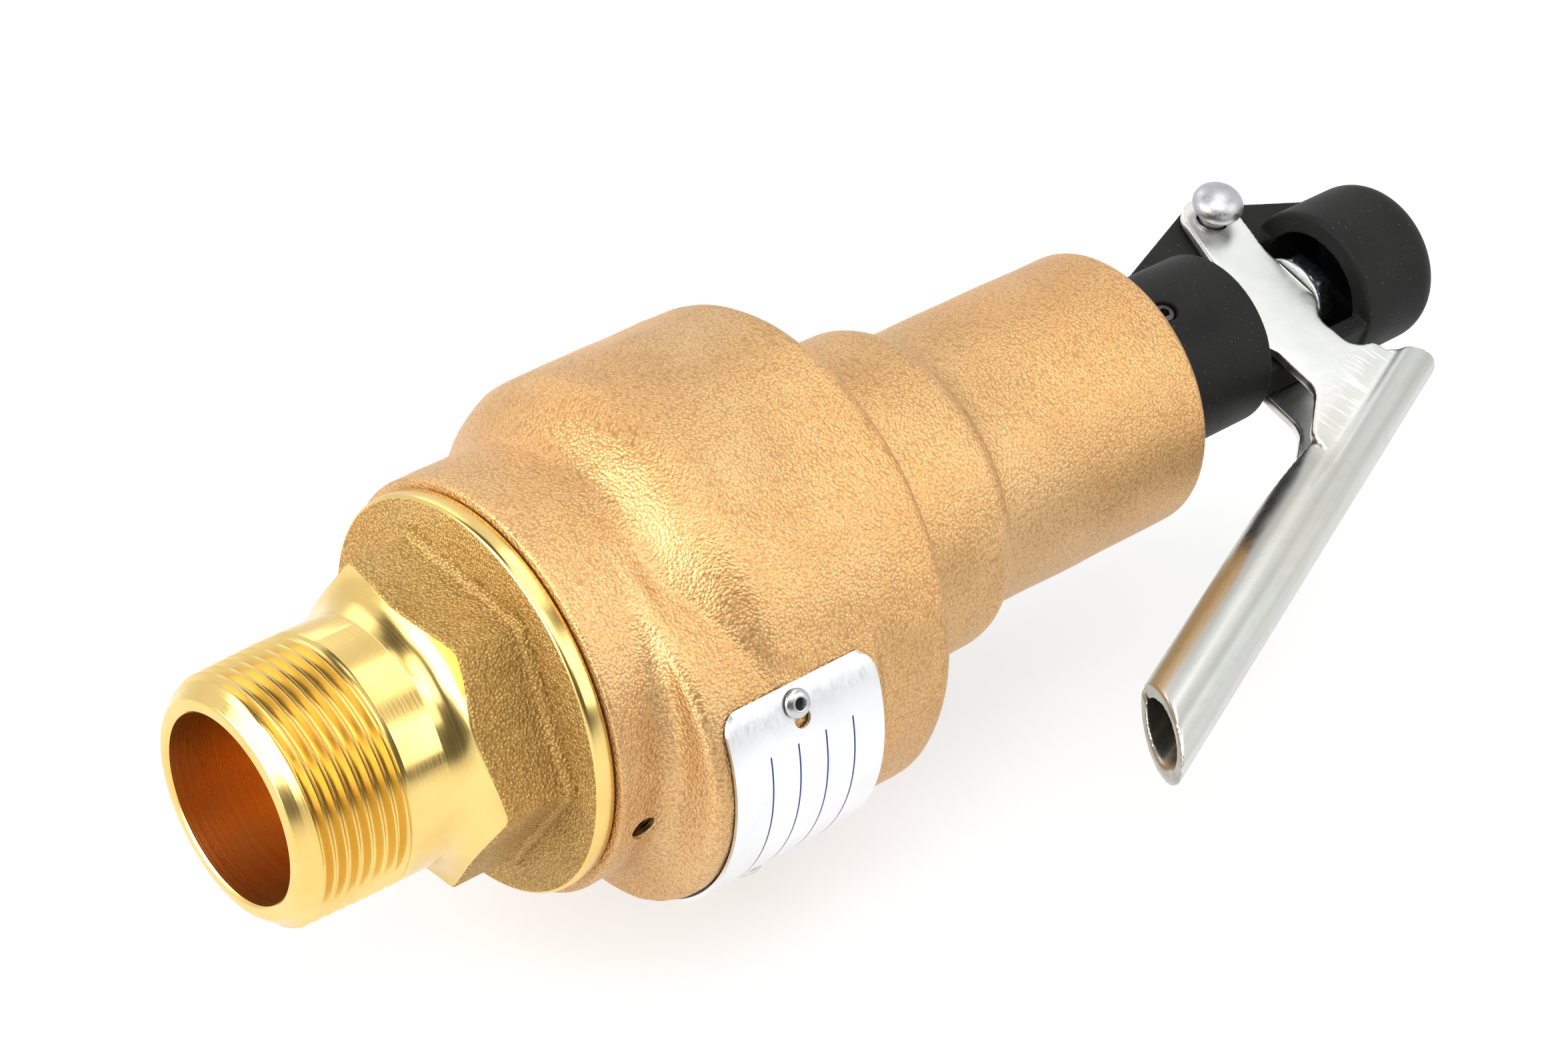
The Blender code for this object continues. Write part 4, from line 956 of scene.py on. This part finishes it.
def make_nameplate():
    low, high, half, c = PLATE_LOW, PLATE_LOW + PLATE_SIZE[1], PLATE_SIZE[0] / 2, PLATE_CORNER
    ring = [(PLATE_OUT, high), (PLATE_OUT, low), (PLATE_IN, low), (PLATE_IN, high)]
    plate = turned("nameplate_sheet", ring, (PLATE,), loop=True, segments=240)
    place(plate, Matrix.Translation((PAD_X * MM, 0, 0)))
    corners = [
        *bow(half - c, high - c, c, 0, 90, 8),
        *bow(c - half, high - c, c, 90, 180, 8),
        *bow(c - half, low + c, c, 180, 270, 8),
        *bow(half - c, low + c, c, 270, 360, 8),
    ]
    window = slab("plate_window", corners, -PAD_X - PLATE_OUT - 5, -PAD_X)
    carve(plate, place(window, quarter_turn("Z")), "INTERSECT")
    for number, side in ((1, -1), (2, 1)):
        hole = rod(RIVET_HOLE_R, PLATE_IN - 2, PLATE_OUT + 2, 24)
        carve(plate, place(hole, radial_matrix(side * RIVET_TURN, RIVET_Z, PAD_X)))
        spare = rod(SPARE_HOLE_R, PLATE_IN - 2, PLATE_OUT + 2, 32)
        carve(plate, place(spare, radial_matrix(side * (RIVET_TURN - SPARE_TURN), RIVET_Z + 0.5, PAD_X)))
        rivet = turned(f"rivet_{number}", RIVET_HEAD, (STEEL, BLACK), segments=48)
        # Painted shade: the rivet's hollow centre takes the black coating
        for face in rivet.data.polygons:
            x, y, z = face.center / MM
            face.material_index = 1 if hypot(x, y) < 0.86 and z > 0 else 0
        place(rivet, radial_matrix(side * RIVET_TURN, RIVET_Z, PAD_X, PLATE_OUT + FIT))
        dress(rivet, 40, "body", "steel", f"nameplate_rivet_{number}")
    dress(plate, 30, "body", "nameplate", "nameplate")


# Black cap
CUP_ROUND = 5.6
CUP_BORE_R = 10.9
CUP_BORE_TOP = TOP - 4.8
EAR_R = 5.9


def make_cap():
    base = [(0, CAP_BASE), (CAP_R, CAP_BASE), (CAP_R, CAP_LOW), (0, CAP_LOW)]
    cap = turned("cap_shell", base, (BLACK,), edge=0.7)
    dome = bow(CUP_R - CUP_ROUND, TOP - CUP_ROUND, CUP_ROUND, 90, 0, 12)
    cup = turned("cap_cup", round_off([(0, TOP), *dome, (CUP_R, CUP_LOW), (0, CUP_LOW)], 0.8, False))
    ear = [
        (-11.0, CUP_LOW + 15.2), (-CUP_R + 0.6, CUP_LOW + 15.2), *bow(PIN_X, PIN_Z, EAR_R, 155, 199, 10),
        (-CAP_R + 0.6, CAP_LOW + 16.0), (-11.0, CAP_LOW + 16.0),
    ]
    web = [(11.0, CAP_BASE - 0.8), (14.2, CAP_BASE - 0.8), (14.2, CUP_LOW + 0.8), (11.0, CUP_LOW + 0.8)]
    for piece in (slab("cap_ear", ear, -WEB, WEB), slab("cap_web", web, -WEB, WEB), cup):
        carve(cap, piece, "UNION")
    carve(cap, rod(13.5, CAP_LOW - 2, CAP_BASE - 2.1, 96))
    carve(cap, rod(4.0, CAP_BASE - 4, CAP_BASE + 2))
    bore = [(0, CUP_BORE_TOP), (CUP_BORE_R, CUP_BORE_TOP), (CUP_BORE_R, CUP_LOW - 2), (0, CUP_LOW - 2)]
    carve(cap, turned("cup_bore", round_off(bore, 2.0, False)))
    carve(cap, place(rod(2.7, -8, 8, 32), pin_matrix()))
    at_screw = radial_matrix(CAP_SCREW_TURN, CAP_SCREW_Z)
    carve(cap, place(rod(2.2, 10.5, 19.0, 32), at_screw))
    soften(cap, 0.34, 3)
    thin(cap, 0.4)
    cap.data.materials.clear()
    cap.data.materials.append(BLACK)
    dress(cap, 60, "body", "black", "lever_cap")
    outline = [(0, 15.15), (1.9, 15.15), (1.9, 11.5), (0, 11.5)]
    screw = socket_head("set_screw", outline, 0.3, 32, [(0, 16), (1.0, 16), (1.0, 13.4), (0, 13.0)])
    place(screw, at_screw)
    dress(screw, 35, "body", "steel", "cap_set_screw")


# Lever; a handle's end is cut from a point on its outer side to one on its inner side, given along its axis
SLIT_HALF = 0.4
DRAWN_OUT = 0.75
HANDLE_ENDS = (("handle_tip", 102.6, 89.1, 1), ("handle_top", -14.6, -4.2, -1))
CREASE_DEPTH = 0.75


def pin_matrix():
    """A piece made about Z is laid along the pin, its top towards -Y."""
    return Matrix.Translation((PIN_X * MM, 0, PIN_Z * MM)) @ quarter_turn("X")


def handle_matrix():
    x, z = handle_point(0, 0)
    return Matrix.Translation((x * MM, 0, z * MM)) @ Matrix.Rotation(-HANDLE_TILT, 4, "Y")


def arm_outline():
    heel = CAP_BASE + FIT
    nub_x = PIN_X + HANDLE_REACH - 7.2
    corners = [
        *bow(PIN_X, PIN_Z, 5.6, 75, 262, 20), (-11.6, 218.0), (-7.0, 217.2), (1.0, heel), (9.0, heel),
        (11.4, PIN_Z - 13.4), *bow(nub_x + 0.8, PIN_Z - 19.4, 6.0, 90, 50, 5), handle_point(22.0, -5.3),
        handle_point(24.0, 0.6), handle_point(-6.7, 0.6), (nub_x + 1.6, PIN_Z + 5.4), (nub_x, PIN_Z + 4.6),
        (nub_x - 0.6, PIN_Z + 1.8), (nub_x - 2.4, PIN_Z + 0.1), (9.8, PIN_Z - 0.2), (6.0, PIN_Z + 3.4),
        (-8.0, PIN_Z + 3.4),
    ]
    return round_off(corners, 1.8, True, 4, 12)


def handle_section(radius):
    """The rolled sheet's section, drawn out to a point where its two edges meet."""
    points = []
    slit = degrees(asin(SLIT_HALF / (radius + DRAWN_OUT)))
    for i in range(73):
        angle = slit - 180 + (360 - 2 * slit) * i / 72
        r = radius + DRAWN_OUT * (max(abs(angle) - 120, 0) / 60) ** 2
        points.append((r * cos(radians(angle)), r * sin(radians(angle))))
    return points


def make_handle():
    ring = handle_section(HANDLE_R) + handle_section(HANDLE_R - HANDLE_WALL)[::-1]
    tube = slab("handle_tube", ring, -125.0, 30.0)
    place(tube, handle_matrix() @ quarter_turn("X"))
    for name, outer, inner, away in HANDLE_ENDS:
        outside = Vector(handle_point(outer, HANDLE_R))
        inside = Vector(handle_point(inner, -HANDLE_R))
        reach = outside - inside
        first, last = outside + reach, inside - reach
        shift = Vector((sin(HANDLE_TILT), -cos(HANDLE_TILT))) * 60 * away
        corners = [tuple(corner) for corner in (first, last, last + shift, first + shift)]
        carve(tube, slab(name, corners, -20, 20))
    half, gap = ARM_IN + 0.33, 0.3
    opening = [(-half, 45), (half, 45), (half, -20), (gap, -41), (-gap, -41), (-half, -20)]
    wedge = slab("handle_opening", opening, 0.63, 14.0)
    carve(tube, place(wedge, handle_matrix() @ quarter_turn("Z")))
    return tube


def crease(lever):
    """Presses in the fold line where the flat arm turns into the round handle."""
    place(lever, handle_matrix().inverted())
    for vertex in lever.data.vertices:
        outward, aside, along = vertex.co / MM
        along = -along
        if abs(aside) < 3.9 or not -14 < along < 34:
            continue
        press = np.interp(outward, (-4.6, -0.6, 0.6), (0.0, CREASE_DEPTH, 0.0))
        press *= np.interp(along, (20, 34), (1.0, 0.0))
        vertex.co.y -= copysign(press * MM, aside)
    place(lever, handle_matrix())


def make_lever():
    lever = slab("lever_sheet", arm_outline(), -ARM_OUT, -ARM_IN)
    carve(lever, make_handle(), "UNION")
    carve(lever, slab("far_arm", arm_outline(), ARM_IN, ARM_OUT), "UNION")
    carve(lever, place(rod(2.85, -12, 12, 48), pin_matrix()))
    soften(lever, 0.3, 5)
    crease(lever)
    thin(lever, 0.6)
    smooth_points(lever, lambda point: True, 3)
    lever.data.materials.clear()
    lever.data.materials.append(LEVER_ZINC)
    dress(lever, 60, "lever", "zinc", "lever")


def make_pin():
    under = ARM_OUT + 0.7
    clip = ARM_OUT + 0.45
    tail = clip + 1.2 + 2.6
    shape = [
        *bow(0, under + 3.0, 4.7, 90, -48, 24, 3.2), (3.0, under + 0.4), (2.9, under), (2.4, under - 0.3),
        (2.4, 0.9 - tail), (1.5, -tail), (0, -tail),
    ]
    pin = turned("pin_steel", shape, (PIN_STEEL,), segments=64)
    dress(place(pin, pin_matrix()), 40, "body", "steel", "lever_pin")
    ring = [(4.4, -clip), (4.4, -clip - 1.2), (2.7, -clip - 1.2), (2.7, -clip)]
    washer = turned("pin_clip", ring, (STEEL,), loop=True, segments=48, edge=0.25)
    dress(place(washer, pin_matrix()), 40, "body", "steel", "lever_pin_clip")


# Spindle end, washer and nut
WASHER_LOW = 229.372
NUT_BORE_R = 3.4


def make_nut(name, flats, bore, low, height):
    """A nut with its corners turned off at both ends."""
    high = low + height
    turns = even_turns(96)
    corner = flats / 2 / cos(pi / 6)
    bm = bmesh.new()
    rings = []
    for k in range(9):
        z = low + height * k / 8
        limit = min(flats / 2 + min(z - low, high - z) * 1.7 - 0.05, corner - 0.1)
        sides = (flats / 2 / cos(a % (pi / 3) - pi / 6) for a in turns)
        rings.append(add_ring(bm, [(min(side, limit), z) for side in sides], turns))
    for r, z in ((bore + 0.6, high), (bore, high - 0.6), (bore, low + 0.6), (bore + 0.6, low)):
        rings.append(add_ring(bm, [(r, z)] * len(turns), turns))
    join_rings(bm, rings, loop=True)
    return link_mesh(name, clean(bm), (BLUE_STEEL,))


def make_stem():
    high = WASHER_LOW + 1.0
    washer = [(7.6, high), (7.6, WASHER_LOW), (NUT_BORE_R, WASHER_LOW), (NUT_BORE_R, high)]
    ring = turned("stem_washer", washer, (ZINC,), loop=True, segments=64, edge=0.3)
    dress(ring, 40, "spindle", "steel", "lift_washer")
    nut = make_nut("stem_nut", 12.7, NUT_BORE_R, high + FIT, 3.8)
    dress(nut, 30, "spindle", "steel", "lift_nut")
    segments, pitch, depth, start, end = 48, 1.1, 0.6, 214.0, 237.1

    def radius(z, cut):
        ease = clamp((z - start) / pitch) * clamp((end - z) / 0.6)
        return STEM_R - depth * cut * ease

    bm = bmesh.new()
    add_rings(bm, [(0, 238.072), (2.4, 238.072), (STEM_R, end)], segments)
    add_thread(bm, start, end, pitch, segments, radius)
    lower = [
        (STEM_R, start), (STEM_R, 123.472), (5.5, 123.472), (5.5, 120.472), (STEM_R, 120.472),
        (STEM_R, 85.772), (5.6, 85.772), (5.6, 78.572), (4.8, 77.772), (0, 77.772),
    ]
    add_rings(bm, lower, segments)
    stem = link_mesh("stem", clean(bm), (STEEL,))
    dress(stem, 35, "spindle", "steel", "spindle")


def make_spring():
    """Round-wire spring with closed ends."""
    wire, radius, low, length, closed, active = 2.4, 14.6, 127.072, 38.0, 0.9, 3.6
    closed_pitch = 2 * wire + 0.35
    rise = length - 2 * wire
    active_pitch = (rise - 2 * closed * closed_pitch) / active
    total = 2 * closed + active
    around, steps = 12, int(total * 28)
    bm = bmesh.new()
    rings = []
    for i in range(steps + 1):
        t = total * i / steps
        first = min(t, closed)
        middle = min(max(t - closed, 0.0), active)
        last = max(t - closed - active, 0.0)
        z = low + wire + (first + last) * closed_pitch + middle * active_pitch
        section = [(radius + wire * cos(b), z + wire * sin(b)) for b in even_turns(around)]
        rings.append(add_ring(bm, section, [2 * pi * t] * around))
    join_rings(bm, rings)
    bm.faces.new(rings[0])
    bm.faces.new(rings[-1])
    spring = link_mesh("spring_coil", clean(bm), (SPRING_STEEL,))
    dress(spring, 50, "body", "spring_steel", "spring")
    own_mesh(spring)


make_nozzle()
make_body()
make_lock_screw()
make_nameplate()
make_cap()
make_lever()
make_pin()
make_stem()
make_spring()

# Solids inside that show their own shape
INNER = {
    "regulator_ring": INNER_BRASS, "disc_guide": INNER_BRASS, "disc": STEEL, "disc_retaining_ring": STEEL,
    "lower_spring_step": STEEL, "upper_spring_step": STEEL, "compression_screw": STEEL,
    "compression_screw_locknut": STEEL,
}
for name, material in INNER.items():
    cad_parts[name].material_slots[0].material = material

# Camera at the photograph's angle
RIGHT = Vector((0.62496, -0.19169, 0.75675))
DOWN = Vector((0.64524, 0.67249, -0.36252))
FORWARD = Vector((-0.43942, 0.71485, 0.54397))
EYE = Vector((293.133, -482.407, -254.315)) * MM
scene = bpy.context.scene
camera = bpy.data.objects.new("camera", bpy.data.cameras.new("camera"))
scene.collection.objects.link(camera)
camera.data.sensor_width = 36.0
camera.data.lens = 94.149
camera.data.clip_start = 0.01
camera.matrix_world = Matrix.Translation(EYE) @ Matrix((RIGHT, -DOWN, -FORWARD)).transposed().to_4x4()
scene.camera = camera
scene.view_settings.view_transform = "Standard"

# Studio, in metres; a lamp is placed from the valve's middle to the right, upward and back to the camera
VALVE_MIDDLE = Vector((0.0, 0.0, 0.125))
WHITE = rgb(1.0, 1.0, 1.0)
FLOOR_UP = Vector((-0.292, -0.956, 0.0)).normalized()
FLOOR_DISTANCE = 59.4 * MM
FLOOR_HALF = 1.6
FLOOR_GREY = rgb(0.4, 0.4, 0.4)
FLOOR_GLOW = 0.56
FLOOR_NEAR = 0.25
FLOOR_FAR = 0.60
WORLD_LIGHT = 0.55
ROOM_RADIUS = 1.4
ROOM_EDGE = 0.2
ROOM_COLOUR = rgb(0.15, 0.14, 0.125)
LAMP_HEIGHT = 0.6
LAMPS = (
    ("left_light", (-0.85, 0.15, 0.50), 0.6, 5.2),
    ("low_left_light", (-0.70, -0.10, 0.70), 0.6, 6.4),
    ("front_light", (-0.05, 0.45, 0.90), 0.7, 4.4),
    ("front_right_light", (0.45, 0.35, 0.80), 0.6, 2.4),
    ("right_light", (0.87, 0.20, 0.41), 0.6, 3.0),
    ("top_light", (0.30, 0.86, 0.41), 0.6, 2.6),
    ("back_light", (-0.51, 0.83, -0.21), 0.6, 1.3),
)


def make_floor():
    """Pale floor under the valve, which lies on its outlet; clear from behind so other sides can be seen."""
    material = bpy.data.materials.new("floor")
    material.use_nodes = True
    material.node_tree.nodes.clear()
    mat = Nodes(material.node_tree)
    path = mat.add("LightPath")
    coords = mat.add("TexCoord")["Object"]
    matte = mat.add("BsdfDiffuse", {"Color": FLOOR_GREY})[0]
    glow = mat.add("Emission", {"Color": WHITE, "Strength": FLOOR_GLOW})[0]
    plain = mat.add("Emission", {"Color": WHITE, "Strength": 1.0})[0]
    clear = mat.add("BsdfTransparent")[0]
    near = mat.add("AddShader", {0: matte, 1: glow})[0]
    away = mat.add("VectorMath", {0: coords}, operation="LENGTH")["Value"]
    shown = mat.mix(mat.remap(away, FLOOR_NEAR, FLOOR_FAR), near, plain)
    lit = mat.mix(mat.seen_rays(path), matte, shown)
    unseen = mat.calc("MAXIMUM", mat.add("NewGeometry")["Backfacing"], path["Is Shadow Ray"])
    mat.add("OutputMaterial", {0: mat.mix(unseen, lit, clear)})
    bm = bmesh.new()
    bmesh.ops.create_grid(bm, x_segments=2, y_segments=2, size=FLOOR_HALF)
    floor = link_mesh("floor", bm, (material,), 1.0)
    turn = Vector((0, 0, 1)).rotation_difference(FLOOR_UP).to_matrix().to_4x4()
    floor.matrix_world = Matrix.Translation(VALVE_MIDDLE - FLOOR_UP * FLOOR_DISTANCE) @ turn


def make_world():
    world = bpy.data.worlds.new("studio")
    scene.world = world
    world.use_nodes = True
    world.node_tree.nodes.clear()
    sky = Nodes(world.node_tree)
    soft = sky.add("Background", {0: WHITE, 1: WORLD_LIGHT})[0]
    white = sky.add("Background", {0: WHITE, 1: 1.0})[0]
    sky.add("OutputWorld", {0: sky.mix(sky.seen_rays(sky.add("LightPath")), soft, white)})


def make_dark_room():
    """The unlit side of the studio round the camera, which only the metal's reflections show."""
    material = bpy.data.materials.new("dark_room")
    material.use_nodes = True
    shader = material.node_tree.nodes["Principled BSDF"]
    shader.inputs["Base Color"].default_value = ROOM_COLOUR
    shader.inputs["Roughness"].default_value = 0.9
    bm = bmesh.new()
    bmesh.ops.create_uvsphere(bm, u_segments=48, v_segments=24, radius=ROOM_RADIUS)
    outside = [f for f in bm.faces if f.calc_center_median().normalized().dot(-FORWARD) < ROOM_EDGE]
    bmesh.ops.delete(bm, geom=outside, context="FACES")
    room = link_mesh("dark_room", bm, (material,), 1.0)
    room.location = VALVE_MIDDLE
    room.visible_camera = False
    room.visible_shadow = False
    room.visible_diffuse = False


def soft_light(name, offset, width, power):
    right, up, back = offset
    light = bpy.data.lights.new(name, "AREA")
    light.shape = "RECTANGLE"
    light.size, light.size_y = width, LAMP_HEIGHT
    light.energy = power
    made = bpy.data.objects.new(name, light)
    scene.collection.objects.link(made)
    made.location = VALVE_MIDDLE + RIGHT * right - DOWN * up - FORWARD * back
    made.rotation_euler = (VALVE_MIDDLE - made.location).to_track_quat("-Z", "Y").to_euler()


make_floor()
make_world()
make_dark_room()
for lamp in LAMPS:
    soft_light(*lamp)
